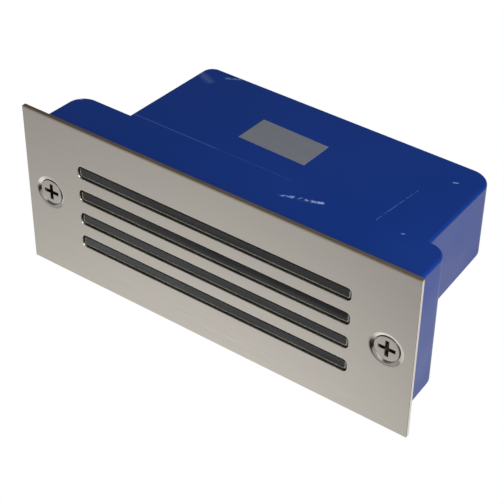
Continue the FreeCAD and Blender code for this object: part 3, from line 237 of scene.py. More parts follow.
scuff_and_highlight.links.new(mark_along.outputs["Value"], mark_part.inputs[0])
scuff_and_highlight.links.new(mark_square.outputs["Value"], mark_part.inputs[1])
scuff_and_highlight.links.new(mark_direction.outputs["Vector"], mark_foot.inputs[0])
scuff_and_highlight.links.new(mark_part.outputs["Value"], mark_foot.inputs["Scale"])
scuff_and_highlight.links.new(mark_from.outputs["Vector"], mark_away.inputs[0])
scuff_and_highlight.links.new(mark_foot.outputs["Vector"], mark_away.inputs[1])
scuff_and_highlight.links.new(mark_away.outputs["Value"], mark_soft.inputs["Value"])
scuff_and_highlight.links.new(mark_in.outputs["Width"], mark_soft.inputs["From Max"])
scuff_and_highlight.links.new(mark_place.outputs["Object"], mark_noise.inputs["Vector"])
scuff_and_highlight.links.new(mark_in.outputs["Broken"], mark_edge.inputs[0])
scuff_and_highlight.links.new(mark_noise.outputs["Fac"], mark_gaps.inputs["Value"])
scuff_and_highlight.links.new(mark_in.outputs["Broken"], mark_gaps.inputs["From Min"])
scuff_and_highlight.links.new(mark_edge.outputs["Value"], mark_gaps.inputs["From Max"])
scuff_and_highlight.links.new(mark_soft.outputs["Result"], mark_broken_up.inputs[0])
scuff_and_highlight.links.new(mark_gaps.outputs["Result"], mark_broken_up.inputs[1])
scuff_and_highlight.links.new(mark_broken_up.outputs["Value"], mark_level.inputs[0])
scuff_and_highlight.links.new(mark_in.outputs["Amount"], mark_level.inputs[1])
scuff_and_highlight.links.new(mark_level.outputs["Value"], mark_out.inputs["Mask"])
print("group", scuff_and_highlight.name)

# %% Tracks: the copper lines under a board's lacquer
tracks, tracks_in, tracks_out = new_group(
    "tracks", [("Scale", FLOAT, 300), ("Width", FLOAT, 0.06)], [("Mask", FLOAT)])
tracks_place = add(tracks, "ShaderNodeTexCoord")
tracks_cells = add(
    tracks, "ShaderNodeTexVoronoi", feature="DISTANCE_TO_EDGE", inputs={"Randomness": 0.8})
tracks_line = add(tracks, "ShaderNodeMapRange", inputs={"To Min": 1.0, "To Max": 0.0})
tracks.links.new(tracks_place.outputs["Object"], tracks_cells.inputs["Vector"])
tracks.links.new(tracks_in.outputs["Scale"], tracks_cells.inputs["Scale"])
tracks.links.new(tracks_cells.outputs["Distance"], tracks_line.inputs["Value"])
tracks.links.new(tracks_in.outputs["Width"], tracks_line.inputs["From Max"])
tracks.links.new(tracks_line.outputs["Result"], tracks_out.inputs["Mask"])
print("group", tracks.name)

# %% [markdown]
# ## One way to finish a surface
# Most finishes differ only in their values: two colours to vary between, a range of
# roughness, and the depth of the bump. One helper wires a group to the shader and
# returns the material, so each piece below needs a single call. A second helper lays
# another colour over it wherever a mask is white, for scuffs, painted highlights, tracks
# or bare metal.

# %% Finish helpers
def finish(name, effect, low, high, smooth, rough, depth, sizes, **options):
    """A material whose colour, roughness and bump come from one effect."""
    material = plain(name, low, rough, **options)
    tree = material.node_tree
    shader = tree.nodes["Principled BSDF"]
    first, second = ("Across", "Along") if effect is grain else ("Fine", "Broad")
    pattern = place(material, effect, Low=(*low, 1), High=(*high, 1), Smooth=smooth, Rough=rough,
                    **{first: sizes[0], second: sizes[1]})
    tree.links.new(pattern.outputs["Color"], shader.inputs["Base Color"])
    tree.links.new(pattern.outputs["Roughness"], shader.inputs["Roughness"])
    bump = add(tree, "ShaderNodeBump", inputs={"Distance": depth * MM, "Strength": 1.0})
    tree.links.new(pattern.outputs["Height"], bump.inputs["Height"])
    tree.links.new(bump.outputs["Normal"], shader.inputs["Normal"])
    return material


def lay_over(material, mask, colour, socket="Base Color"):
    """Mix a colour, or a number, over what feeds a socket wherever the mask is white."""
    tree = material.node_tree
    target = tree.nodes["Principled BSDF"].inputs[socket]
    below = target.links[0].from_socket
    if socket == "Base Color":
        mix = add(tree, "ShaderNodeMix", data_type="RGBA", inputs={"B": (*colour, 1)})
    else:
        mix = add(tree, "ShaderNodeMix", data_type="FLOAT", inputs={"B": colour})
    tree.links.new(mask, mix.inputs["Factor"])
    tree.links.new(below, mix.inputs["A"])
    tree.links.new(mix.outputs["Result"], target)


# %% [markdown]
# ## Helpers for shapes
# A solid from the CAD program arrives as loose flat triangles. A copy of it is joined
# up, its flat faces are made whole, and its sharp edges are rounded a little, as on any
# real piece: an edge with no radius never catches the light. Faces that meet at a small
# angle are then shaded as one curve, and a Weighted Normal modifier keeps the large flat
# faces flat beside their rounded edges.

# %% Shape helpers
JOIN_WITHIN = 0.001 * MM
FLAT_WITHIN = math.radians(0.3)
SMOOTH_BELOW = math.radians(38)


def merged_copy(node):
    """A CAD node's shape with its triangles joined and its flat faces whole."""
    shape = bmesh.new()
    shape.from_mesh(nodes[node].data)
    bmesh.ops.remove_doubles(shape, verts=shape.verts, dist=JOIN_WITHIN)
    bmesh.ops.dissolve_limit(shape, angle_limit=FLAT_WITHIN, verts=shape.verts, edges=shape.edges)
    return shape


def round_edges(shape, width, wanted=None, segments=2, sharper_than=40):
    """Bevel the edges sharper than an angle, or only those that a test picks."""
    limit = math.radians(sharper_than)
    chosen = [
        edge for edge in shape.edges
        if edge.calc_face_angle(0) > limit and (wanted is None or wanted(edge))
    ]
    bmesh.ops.bevel(
        shape, geom=chosen, offset=width * MM, offset_type="OFFSET", segments=segments,
        profile=0.5, affect="EDGES", clamp_overlap=True, material=-1)
    return len(chosen)


def new_piece(name, shape, body, materials, replaced=()):
    """Make a bmesh a piece of the light that rides on a body."""
    mesh = bpy.data.meshes.new(name)
    shape.to_mesh(mesh)
    shape.free()
    for material in materials:
        mesh.materials.append(material)
    mesh.shade_smooth()
    mesh.set_sharp_from_angle(angle=SMOOTH_BELOW)
    piece = bpy.data.objects.new(name, mesh)
    bpy.context.scene.collection.objects.link(piece)
    shading = piece.modifiers.new("flat_faces_stay_flat", "WEIGHTED_NORMAL")
    shading.keep_sharp = True
    shading.weight = 100
    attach(piece, body)
    if replaced:
        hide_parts(*replaced)
    print(name, "on", body, "with", len(mesh.polygons), "faces")


def dress(name, material):
    """Give a CAD node a better material without touching its mesh."""
    slots = nodes[name].data.materials
    for number in range(len(slots)):
        slots[number] = material
    if not slots:
        slots.append(material)
    print("dressed", name, "with", material.name)


# %% [markdown]
# ## The blue housing
# Moulded in one shot from a deep blue plastic, satin rather than glossy. Its top mirrors
# little, and its side picks up the pale surroundings at a low angle, which comes from
# the shader by itself. The scuffs and scratches are where the photograph has them. A short
# pale mark on the left corner of the tray and a faint pale line where the driver box
# leaves the tray are painted highlights. Its edges are already round in the solid, so the
# copy is only joined up.

# %% Housing material
blue_plastic = finish(
    "blue_plastic", skin, (0.0016, 0.024, 0.175), (0.0026, 0.030, 0.205), 0.28, 0.38, 0.003,
    (2600, 40), IOR=1.45, Specular_IOR_Level=0.36)
# Pale blue for the scuffs, and for the painted highlights below.
SCUFF_AND_HIGHLIGHT_COLOUR = (0.30, 0.40, 0.70)
TOP_HEIGHT = 18.5
TOP_START = -0.8
DRAFT = math.radians(1.7)
SCUFFS_AND_HIGHLIGHTS = [
    ((11.5, 10.1), (20.6, 13.2), 0.70, 0.85, 0.50),
    ((18.4, 12.3), (20.7, 13.3), 0.55, 1.00, 0.36),
    ((12.8, 10.5), (14.2, 11.3), 0.40, 0.90, 0.40),
    ((33.4, 15.2), (34.9, 31.0), 0.16, 0.26, 0.42),
    ((40.6, 14.3), (41.1, 14.5), 0.25, 0.70, 0.30),
    ((39.6, 38.5), (40.5, 38.9), 0.30, 0.85, 0.30),
    ((-28.8, 43.6), (-25.6, 45.4), 0.55, 0.50, 0.42),
    ((-37.6, 43.0), (-31.0, 40.0), 1.60, 0.14, 0.30),
    # Painted highlight: the glint on the left corner of the tray.
    ((-51.0, 13.0), (-50.0, 13.8), 0.30, 0.90, 0.30),
    ((-37.2, 15.9), (-36.4, 16.6), 0.45, 0.95, 0.25),
    # Painted highlight: a pale line along the crease where the driver box leaves the tray.
    ((-36.8, 16.4), (-11.6, 16.4), 0.20, 0.18, 0.30),
    ((-11.6, 16.4), (10.0, 16.4), 0.18, 0.08, 0.36),
]


def on_top(x, y):
    """The point of the housing's sloping top above a place."""
    return Vector((x, y, TOP_HEIGHT - math.tan(DRAFT) * (y - TOP_START))) * MM


for start, end, width, amount, broken in SCUFFS_AND_HIGHLIGHTS:
    one = place(
        blue_plastic, scuff_and_highlight, Start=on_top(*start), End=on_top(*end),
        Width=width * MM, Amount=amount, Broken=broken)
    lay_over(blue_plastic, one.outputs["Mask"], SCUFF_AND_HIGHLIGHT_COLOUR)
print("scuffs_and_highlights", len(SCUFFS_AND_HIGHLIGHTS))

# %% Housing piece
housing_shape = merged_copy("housing")
new_piece(
    "blue_housing", housing_shape, "housing_body", [blue_plastic], ["housing"])

# %% [markdown]
# ## The steel plate
# The plate is stainless sheet, brushed along its length, with its slots and outline cut
# and its two dimples pressed and polished. Brush lines are noise stretched along one
# axis. The dimples are a mask of their own: everything within their radius is smoother
# and a little brighter. The top face of the sheet is coloured a dark brown, and a narrow
# band of the front below it turns brown towards the top. Its corners are pulled out until
# they are nearly square, and the lips of the dimples get a wider round than the other
# edges, because they were pressed and not cut.

# %% Plate masks
PLATE_HALF = (55.0, 22.5)
PLATE_FRONT = -1.8
SCREW_X = 48.0
DIMPLE_RADIUS = 4.25
DIMPLE_FLOOR_RADIUS = 3.45
DIMPLE_FLOOR = -1.45
SHEARED_BAND = 0.8
plate_marks, plate_marks_in, plate_marks_out = new_group(
    "plate_marks",
    [("Offset", FLOAT, SCREW_X * MM), ("Radius", FLOAT, DIMPLE_RADIUS * MM),
     ("Edge", FLOAT, PLATE_HALF[1] * MM), ("Band", FLOAT, SHEARED_BAND * MM)],
    [("Dimple", FLOAT), ("Sheared", FLOAT)])
plate_place = add(plate_marks, "ShaderNodeTexCoord")
plate_axes = add(plate_marks, "ShaderNodeSeparateXYZ")
plate_either = add(plate_marks, "ShaderNodeMath", operation="ABSOLUTE")
plate_aside = add(plate_marks, "ShaderNodeMath", operation="SUBTRACT")
plate_flat = add(plate_marks, "ShaderNodeCombineXYZ")
plate_radius = add(plate_marks, "ShaderNodeVectorMath", operation="LENGTH")
plate_dimple = add(plate_marks, "ShaderNodeMath", operation="LESS_THAN")
plate_start = add(plate_marks, "ShaderNodeMath", operation="SUBTRACT")
plate_sheared = add(plate_marks, "ShaderNodeMapRange", interpolation_type="SMOOTHSTEP")
plate_marks.links.new(plate_place.outputs["Object"], plate_axes.inputs["Vector"])
plate_marks.links.new(plate_axes.outputs["X"], plate_either.inputs[0])
plate_marks.links.new(plate_either.outputs["Value"], plate_aside.inputs[0])
plate_marks.links.new(plate_marks_in.outputs["Offset"], plate_aside.inputs[1])
plate_marks.links.new(plate_aside.outputs["Value"], plate_flat.inputs["X"])
plate_marks.links.new(plate_axes.outputs["Z"], plate_flat.inputs["Z"])
plate_marks.links.new(plate_flat.outputs["Vector"], plate_radius.inputs[0])
plate_marks.links.new(plate_radius.outputs["Value"], plate_dimple.inputs[0])
plate_marks.links.new(plate_marks_in.outputs["Radius"], plate_dimple.inputs[1])
plate_marks.links.new(plate_marks_in.outputs["Edge"], plate_start.inputs[0])
plate_marks.links.new(plate_marks_in.outputs["Band"], plate_start.inputs[1])
plate_marks.links.new(plate_axes.outputs["Z"], plate_sheared.inputs["Value"])
plate_marks.links.new(plate_start.outputs["Value"], plate_sheared.inputs["From Min"])
plate_marks.links.new(plate_marks_in.outputs["Edge"], plate_sheared.inputs["From Max"])
plate_marks.links.new(plate_dimple.outputs["Value"], plate_marks_out.inputs["Dimple"])
plate_marks.links.new(plate_sheared.outputs["Result"], plate_marks_out.inputs["Sheared"])
print("group", plate_marks.name)

# %% Plate
stainless = finish(
    "stainless", grain, (0.63, 0.585, 0.525), (0.71, 0.665, 0.60), 0.27, 0.37, 0.0006, (5200, 90),
    Metallic=1.0)
plate_spots = place(stainless, plate_marks)
lay_over(stainless, plate_spots.outputs["Sheared"], (0.36, 0.28, 0.20))
lay_over(stainless, plate_spots.outputs["Dimple"], (0.66, 0.63, 0.58))
lay_over(stainless, plate_spots.outputs["Dimple"], 0.08, "Roughness")

plate_shape = merged_copy("faceplate")
PLATE_CORNER = Vector(PLATE_HALF) * MM
CAD_RADIUS = 0.8 * MM
SHARP_RADIUS = 0.3 * MM
NEAR = 0.02 * MM
cad_centre = PLATE_CORNER - Vector((CAD_RADIUS, CAD_RADIUS))
sharp_centre = PLATE_CORNER - Vector((SHARP_RADIUS, SHARP_RADIUS))
for vert in plate_shape.verts:
    side = Vector((math.copysign(1, vert.co.x), math.copysign(1, vert.co.z)))
    inset = Vector((vert.co.x, vert.co.z)) * side - cad_centre
    if min(inset) > -JOIN_WITHIN:
        vert.co.x, vert.co.z = (sharp_centre + inset * SHARP_RADIUS / CAD_RADIUS) * side
TOP_EDGE = (PLATE_HALF[1] - 0.1) * MM
for face in plate_shape.faces:
    if face.normal.z > 0.9 and face.calc_center_median().z > TOP_EDGE:
        face.material_index = 1


def on_dimple(radius, depth):
    """A test for the edges of one circle of the dimples, at a depth."""
    def wanted(edge):
        return all(
            abs(math.hypot(abs(v.co.x) - SCREW_X * MM, v.co.z) - radius * MM) < NEAR
            and abs(v.co.y - depth * MM) < NEAR for v in edge.verts)
    return wanted


lips = round_edges(
    plate_shape, 0.32, on_dimple(DIMPLE_RADIUS, PLATE_FRONT), segments=4, sharper_than=12)
turns = round_edges(
    plate_shape, 0.16, on_dimple(DIMPLE_FLOOR_RADIUS, DIMPLE_FLOOR), segments=3, sharper_than=12)
print("dimple edges", lips, turns)
round_edges(plate_shape, 0.07)
sheared_edge = finish(
    "sheared_edge", grain, (0.085, 0.065, 0.05), (0.16, 0.12, 0.09), 0.45, 0.60, 0.004, (3000, 300),
    Metallic=0.35)
new_piece(
    "brushed_plate", plate_shape, "faceplate_body", [stainless, sheared_edge],
    ["faceplate"])

# %% [markdown]
# ## The two face screws
# Countersunk, nickel plated, with a cross recess. The head is the CAD head with its rim
# and its recess rounded, and the inside of the recess is painted a darker steel as shade.
# The thread is a short outline of one ridge that `spin` carries round and, with a shift
# at each step, along the screw. Turns that meet are merged, the last ones taper to a
# blunt tip, and two cuts make the ends square.

# %% Screws
# Painted shade: a darker steel for the inside of the cross recess.
recess_painted_shade = finish(
    "recess_painted_shade", skin, (0.10, 0.09, 0.08), (0.22, 0.20, 0.18), 0.30, 0.55, 0.002, (3000, 500),
    Metallic=1.0)
screw_steel = finish(
    "screw_steel", skin, (0.52, 0.48, 0.435), (0.62, 0.575, 0.52), 0.09, 0.18, 0.0015, (3000, 300),
    Metallic=1.0)
HEAD_FRONT = -1.5
HEAD_END = 0.15
HEAD_RIM = 3.3
RECESS_REACH = 2.2
RECESS_END = -0.3
SCREW_END = 11.5
THREAD = {"root": 1.38, "crest": 1.74, "pitch": 0.9, "steps": 24}
TAPER_LONG = 2.2
TAPER_SLIM = 0.55


def cut_across(shape, y, keep):
    """Cut the shape square at a depth and close it. keep is 1 for the part behind, -1 in front."""
    bmesh.ops.bisect_plane(
        shape, geom=shape.verts[:] + shape.edges[:] + shape.faces[:], dist=0.0005 * MM,
        plane_co=(0, y * MM, 0), plane_no=(0, -keep, 0), clear_outer=True)
    rims = [edge for edge in shape.edges if edge.is_boundary]
    bmesh.ops.holes_fill(shape, edges=rims, sides=0)


def screw_head(side, sign):
    """The head of a screw, with a soft rim and a soft recess painted darker as shade."""
    centre = sign * SCREW_X * MM
    shape = merged_copy(f"face_screw_{side}")
    cut_across(shape, HEAD_END + 0.2, -1)

    def on_rim(edge):
        return all(math.hypot(v.co.x - centre, v.co.z) > HEAD_RIM * MM for v in edge.verts)

    # Faces inside the recess take the darker steel, as painted shade.
    for face in shape.faces:
        middle = face.calc_center_median()
        within = math.hypot(middle.x - centre, middle.z) < RECESS_REACH * MM
        if within and (HEAD_FRONT + 0.05) * MM < middle.y < RECESS_END * MM:
            face.material_index = 1
    round_edges(shape, 0.30, on_rim, segments=4)
    round_edges(
        shape, 0.10, lambda edge: all(v.co.y < RECESS_END * MM for v in edge.verts),
        sharper_than=60)
    return shape


def screw_thread(sign):
    """The threaded part, as one ridge carried round and along."""
    centre = sign * SCREW_X
    pitch, steps = THREAD["pitch"], THREAD["steps"]
    turns = math.ceil((SCREW_END - HEAD_END) / pitch) + 3
    outline = ((0.0, "root"), (0.35, "root"), (0.62, "crest"), (0.73, "crest"), (1.0, "root"))
    shape = bmesh.new()
    corners = [
        shape.verts.new(Vector((centre + THREAD[level], HEAD_END + (part - 2) * pitch, 0)) * MM)
        for part, level in outline
    ]
    ridge = [shape.edges.new(pair) for pair in zip(corners, corners[1:])]
    bmesh.ops.spin(
        shape, geom=corners + ridge, cent=Vector((centre, 0, 0)) * MM, axis=(0, 1, 0),
        dvec=(0, pitch * MM / steps, 0), angle=math.tau * turns, steps=steps * turns,
        use_merge=False, use_duplicate=False)
    bmesh.ops.remove_doubles(shape, verts=shape.verts, dist=0.002 * MM)
    for vert in shape.verts:
        past = min(max((vert.co.y / MM - SCREW_END + TAPER_LONG) / TAPER_LONG, 0), 1)
        slim = 1 - TAPER_SLIM * past
        vert.co.x = centre * MM + (vert.co.x - centre * MM) * slim
        vert.co.z = vert.co.z * slim
    cut_across(shape, HEAD_END - 0.05, 1)
    cut_across(shape, SCREW_END, -1)
    bmesh.ops.recalc_face_normals(shape, faces=shape.faces)
    return shape


for side, sign in (("left", -1), ("right", 1)):
    new_piece(
        f"{side}_screw_head", screw_head(side, sign), f"{side}_screw_body",
        [screw_steel, recess_painted_shade], [f"face_screw_{side}"])
    new_piece(
        f"{side}_screw_thread", screw_thread(sign), f"{side}_screw_body",
        [screw_steel])

# %% [markdown]
# ## The clear cover
# One clear moulding with four bars that stand in the slots. Its colour is nearly black,
# a painted shade that stands for the dark inside seen through it, so only the reflection
# on its face is bright. A second grain drives the coat, for streaks where it was wiped.
# The bars have a small chamfer round their front: its lower side and ends are coloured
# light as a painted highlight, the thin bright line in each slot, and its top side is
# painted black as shadow.

# %% Lens
# Painted shade: the clear cover is coloured nearly black for the dark inside seen through it.
clear_lens = finish(
    "clear_lens", grain, (0.006, 0.008, 0.016), (0.060, 0.066, 0.064), 0.04, 0.22, 0.0015,
    (420, 25), IOR=1.36, Transmission_Weight=1.0)
wiped = place(clear_lens, grain, Across=160, Along=16, Smooth=0.0, Rough=0.7)
lens_tree = clear_lens.node_tree
lens_tree.links.new(
    wiped.outputs["Roughness"], lens_tree.nodes["Principled BSDF"].inputs["Coat Weight"])
# Painted highlight: the lower and end chamfers of the bars are coloured light.
bar_edge_painted_highlight = finish(
    "bar_edge_painted_highlight", grain, (0.16, 0.16, 0.135), (0.55, 0.54, 0.47), 0.16, 0.34, 0.002, (900, 160))
bar_shadow = finish(
    "bar_shadow", skin, (0.004, 0.004, 0.004), (0.010, 0.010, 0.010), 0.30, 0.45, 0.001, (900, 160))
lens_shape = merged_copy("lens")
BAR_FRONT = -1.45
BAR_BEVEL_WIDE = 0.42
BAR_BEVEL_DEEP = 0.14
bars = [
    face for face in lens_shape.faces
    if face.normal.y < -0.9 and abs(face.calc_center_median().y - BAR_FRONT * MM) < 0.01 * MM
]
outlines = {vert for face in bars for vert in face.verts}
slopes = bmesh.ops.inset_individual(
    lens_shape, faces=bars, thickness=BAR_BEVEL_WIDE * MM, use_even_offset=True)
for vert in outlines:
    vert.co.y += BAR_BEVEL_DEEP * MM
lens_shape.normal_update()
# Painted highlight on the lower and end chamfers, painted shadow on the top ones.
for face in slopes["faces"]:
    face.material_index = 2 if face.normal.z > 0.12 else 1
round_edges(
    lens_shape, 0.10, lambda edge: all(v.co.y > 0.1 * MM for v in edge.verts), sharper_than=60)
print("bars", len(bars), "slopes", len(slopes["faces"]))
new_piece(
    "barred_cover", lens_shape, "housing_body", [clear_lens, bar_edge_painted_highlight, bar_shadow],
    ["lens"])

# %% [markdown]
# ## Label, foam ring and seals
# The label is a thin silver foil with a satin face, and it is bare. The foam ring is
# closed-cell foam: a fine pitted surface. The seal of the cover is pale silicone, and the
# cable inlet is black rubber.

# %% Label, foam, silicone and rubber
label_foil = finish(
    "label_foil", grain, (0.27, 0.285, 0.33), (0.33, 0.345, 0.39), 0.34, 0.46, 0.0008, (1600, 240),
    Metallic=0.55)
foam = finish(
    "foam", skin, (0.030, 0.030, 0.031), (0.055, 0.055, 0.056), 0.85, 0.98, 0.06, (1800, 260))
silicone = finish(
    "silicone", skin, (0.62, 0.62, 0.60), (0.70, 0.70, 0.68), 0.38, 0.50, 0.003, (1200, 90))
rubber = finish(
    "grommet_rubber", skin, (0.016, 0.016, 0.017), (0.028, 0.028, 0.029), 0.45, 0.62, 0.006,
    (1600, 150))
dress("wall_gasket", foam)
dress("lens_seal", silicone)

label_shape = merged_copy("rating_label")
round_edges(label_shape, 0.05)
new_piece("bare_label", label_shape, "housing_body", [label_foil], ["rating_label"])
grommet_shape = merged_copy("cable_grommet")
round_edges(grommet_shape, 0.25)
new_piece(
    "rubber_inlet", grommet_shape, "housing_body", [rubber], ["cable_grommet"])

# %% [markdown]
# ## Emitter board
# A metal-core board with white lacquer, twelve emitters and two screws, on an aluminium
# plate that spreads the heat. Each emitter is a small pale case with a dish of yellow
# phosphor in its front: `inset_individual` makes the rim and sinks the dish in one go,
# and the sunk face takes the second material.

# %% Emitter board and emitters
white_board = finish(
    "white_board", skin, (0.76, 0.76, 0.73), (0.84, 0.84, 0.81), 0.32, 0.45, 0.002, (1500, 90))
white_tracks = place(white_board, tracks, Scale=210.0, Width=0.05)
lay_over(white_board, white_tracks.outputs["Mask"], (0.62, 0.62, 0.60))
dress("led_board", white_board)

emitter_case = finish(
    "emitter_case", skin, (0.80, 0.78, 0.72), (0.88, 0.86, 0.80), 0.25, 0.35, 0.001, (3000, 400))
phosphor = finish(
    "phosphor", skin, (0.78, 0.56, 0.10), (0.86, 0.66, 0.16), 0.30, 0.45, 0.004, (5200, 700))
EMITTER_RIM = 0.45
EMITTER_DISH = 0.22
emitter_shape = merged_copy("led_emitters")
fronts = [face for face in emitter_shape.faces if face.normal.y < -0.9]
rims = bmesh.ops.inset_individual(
    emitter_shape, faces=fronts, thickness=EMITTER_RIM * MM, depth=-EMITTER_DISH * MM,
    use_even_offset=True)
for face in fronts:
    face.material_index = 1
print("emitters", len(fronts), "rim faces", len(rims["faces"]))
new_piece(
    "emitters", emitter_shape, "housing_body", [emitter_case, phosphor],
    ["led_emitters"])

spreader_aluminium = finish(
    "spreader_aluminium", grain, (0.60, 0.60, 0.61), (0.72, 0.72, 0.73), 0.30, 0.45, 0.003,
    (2600, 60), Metallic=1.0)
dress("heat_spreader", spreader_aluminium)

# %% [markdown]
# ## Small screws
# Five pairs of small zinc-plated screws hold the two boards, the spreader, the cable clamp
# and the wires in the terminal block. They share one finish and a small round on each edge.

# %% Small screws
zinc = finish(
    "zinc_plate", skin, (0.55, 0.55, 0.55), (0.66, 0.66, 0.65), 0.18, 0.32, 0.002, (2400, 260),
    Metallic=1.0)
SMALL_SCREWS = (
    "led_board_screws", "spreader_screws", "driver_board_screws", "cable_clamp_screws",
    "terminal_screws")
for node in SMALL_SCREWS:
    screws_shape = merged_copy(node)
    round_edges(screws_shape, 0.12)
    new_piece(f"{node}_plated", screws_shape, "housing_body", [zinc], [node])

# %% [markdown]
# ## Driver board
# A green board with its tracks under the lacquer, and on it the usual parts of a small
# mains driver. They are hidden in the real light, so each keeps its solid, gets rounded
# edges and a finish of its own. The cable clamp and the two leads are done with them. The
# two capacitors and the choke get a bare metal top inside the rolled edge of their sleeve.

# %% Board and boxed parts
green_board = finish(
    "green_board", skin, (0.014, 0.110, 0.045), (0.020, 0.145, 0.060), 0.26, 0.38, 0.002,
    (1400, 110))
green_tracks = place(green_board, tracks, Scale=260.0, Width=0.09)
lay_over(green_board, green_tracks.outputs["Mask"], (0.055, 0.27, 0.085))
dress("driver_board", green_board)

terminal_green = finish(
    "terminal_green", skin, (0.020, 0.21, 0.055), (0.030, 0.26, 0.075), 0.22, 0.34, 0.002,
    (1700, 140))
film_case = finish(
    "film_case", skin, (0.36, 0.035, 0.014), (0.45, 0.050, 0.020), 0.16, 0.28, 0.003, (700, 130))
black_package = finish(
    "black_package", skin, (0.014, 0.014, 0.015), (0.026, 0.026, 0.027), 0.42, 0.60, 0.004,
    (2600, 240))
clamp_plastic = finish(
    "clamp_plastic", skin, (0.018, 0.018, 0.018), (0.030, 0.030, 0.030), 0.34, 0.46, 0.003,
    (2200, 140))
resistor_coat = finish(
    "resistor_coat", skin, (0.085, 0.190, 0.250), (0.115, 0.240, 0.300), 0.28, 0.42, 0.004,
    (1900, 320))
ferrite = finish(
    "ferrite", skin, (0.030, 0.030, 0.032), (0.055, 0.055, 0.057), 0.48, 0.66, 0.008, (1500, 240))
bobbin_plastic = finish(
    "bobbin_plastic", skin, (0.030, 0.024, 0.020), (0.046, 0.038, 0.031), 0.36, 0.50, 0.003,
    (1900, 180))
coil_tape = finish(
    "coil_tape", grain, (0.62, 0.40, 0.035), (0.74, 0.50, 0.060), 0.24, 0.36, 0.003, (900, 900))
red_wire = finish(
    "red_wire", skin, (0.36, 0.016, 0.012), (0.44, 0.024, 0.016), 0.32, 0.44, 0.002, (1500, 200))
black_wire = finish(
    "black_wire", skin, (0.018, 0.018, 0.018), (0.030, 0.030, 0.030), 0.32, 0.44, 0.002,
    (1500, 200))

PARTS = [
    ("cable_clamp", clamp_plastic, "clamp_plastic", 0.20),
    ("terminal_block", terminal_green, "terminal_green", 0.18),
    ("fuse_resistor", resistor_coat, "resistor_coat", 0.15),
    ("film_capacitor", film_case, "film_case", 0.60),
    ("bridge_rectifier", black_package, "black_package", 0.20),
    ("driver_ic", black_package, "black_package", 0.12),
    ("transformer_core", ferrite, "ferrite", 0.25),
    ("transformer_bobbin", bobbin_plastic, "bobbin_plastic", 0.12),
    ("transformer_winding", coil_tape, "coil_tape", 0.30),
    ("led_lead_positive", red_wire, "red_wire", 0.14),
    ("led_lead_negative", black_wire, "black_wire", 0.14),
]
for node, material, slot_name, width in PARTS:
    part_shape = merged_copy(node)
    round_edges(part_shape, width)
    new_piece(f"{node}_finished", part_shape, "housing_body", [material], [node])

# %% Capacitors and choke
can_sleeve = finish(
    "can_sleeve", grain, (0.010, 0.014, 0.055), (0.016, 0.022, 0.075), 0.18, 0.30, 0.002,
    (700, 700))
choke_sleeve = finish(
    "choke_sleeve", grain, (0.016, 0.016, 0.018), (0.028, 0.028, 0.030), 0.26, 0.38, 0.003,
    (700, 700))
bare_can = finish(
    "bare_can", skin, (0.62, 0.62, 0.63), (0.74, 0.74, 0.75), 0.22, 0.34, 0.002, (2000, 200),
    Metallic=1.0)
CAN_RIM = 0.5
CAN_SINK = 0.15
CANS = [
    ("input_capacitor", can_sleeve, "capacitor_sleeve"),
    ("output_capacitor", can_sleeve, "capacitor_sleeve"),
    ("filter_choke", choke_sleeve, "ferrite"),
]
for node, material, slot_name in CANS:
    can_shape = merged_copy(node)
    highest = max(vert.co.z for vert in can_shape.verts)
    ends = [
        face for face in can_shape.faces
        if face.normal.z > 0.9 and face.calc_center_median().z > highest - 0.1 * MM
    ]
    bmesh.ops.inset_individual(
        can_shape, faces=ends, thickness=CAN_RIM * MM, depth=-CAN_SINK * MM,
        use_even_offset=True)
    for face in ends:
        face.material_index = 1
    round_edges(can_shape, 0.10, sharper_than=50)
    new_piece(
        f"{node}_finished", can_shape, "housing_body", [material, bare_can], [node])

# %% [markdown]
# ## Stage
# A pale floor well below, one soft lamp on the right, and a dark upper half of the world
# with a pale card straight in front. For reflections the floor is darker to the right and
# towards the front, and goes over to a middle tone far away, as a table in a room does:
# the steel plate mirrors it and so changes from dark to light. The camera itself sees
# plain white.

# %% Floor
FLOOR_Z = -0.35
FLOOR_SIZE = 6.0
RIGHTWARDS = (0.796, -0.605, 0.0)
floor_mesh = bpy.data.meshes.new("floor")
floor_shape = bmesh.new()
bmesh.ops.create_grid(floor_shape, x_segments=1, y_segments=1, size=FLOOR_SIZE)
bmesh.ops.translate(floor_shape, verts=floor_shape.verts, vec=(0, 0, FLOOR_Z))
floor_shape.to_mesh(floor_mesh)
floor_shape.free()
floor = bpy.data.objects.new("floor", floor_mesh)
bpy.context.scene.collection.objects.link(floor)
floor_white = plain("floor_white", (0.9, 0.9, 0.9), 0.9)
floor_tree = floor_white.node_tree
floor_place = add(floor_tree, "ShaderNodeTexCoord")
floor_across = add(
    floor_tree, "ShaderNodeVectorMath", operation="DOT_PRODUCT", inputs={1: RIGHTWARDS})
floor_square = add(floor_tree, "ShaderNodeMath", operation="MULTIPLY")
floor_sides = add(floor_tree, "ShaderNodeMapRange",
                  inputs={"From Min": 0.0, "From Max": 0.02, "To Min": 1.0, "To Max": 0.62})
floor_right = add(floor_tree, "ShaderNodeMapRange",
                  inputs={"From Min": 0.13, "From Max": 0.27, "To Min": 1.0, "To Max": 0.12})
floor_width = add(floor_tree, "ShaderNodeMath", operation="MULTIPLY")
floor_axes = add(floor_tree, "ShaderNodeSeparateXYZ")
floor_front = add(floor_tree, "ShaderNodeMapRange", interpolation_type="SMOOTHSTEP",
                  inputs={"From Min": -0.50, "From Max": -0.24, "To Min": 0.34, "To Max": 1.12})
floor_reach = add(floor_tree, "ShaderNodeVectorMath", operation="LENGTH")
floor_far = add(floor_tree, "ShaderNodeMapRange", interpolation_type="SMOOTHSTEP",
                inputs={"From Min": 0.70, "From Max": 1.10})
floor_near = add(floor_tree, "ShaderNodeMath", operation="MULTIPLY")
floor_tone = add(floor_tree, "ShaderNodeMix", data_type="FLOAT", inputs={"B": 0.42})
floor_path = add(floor_tree, "ShaderNodeLightPath")
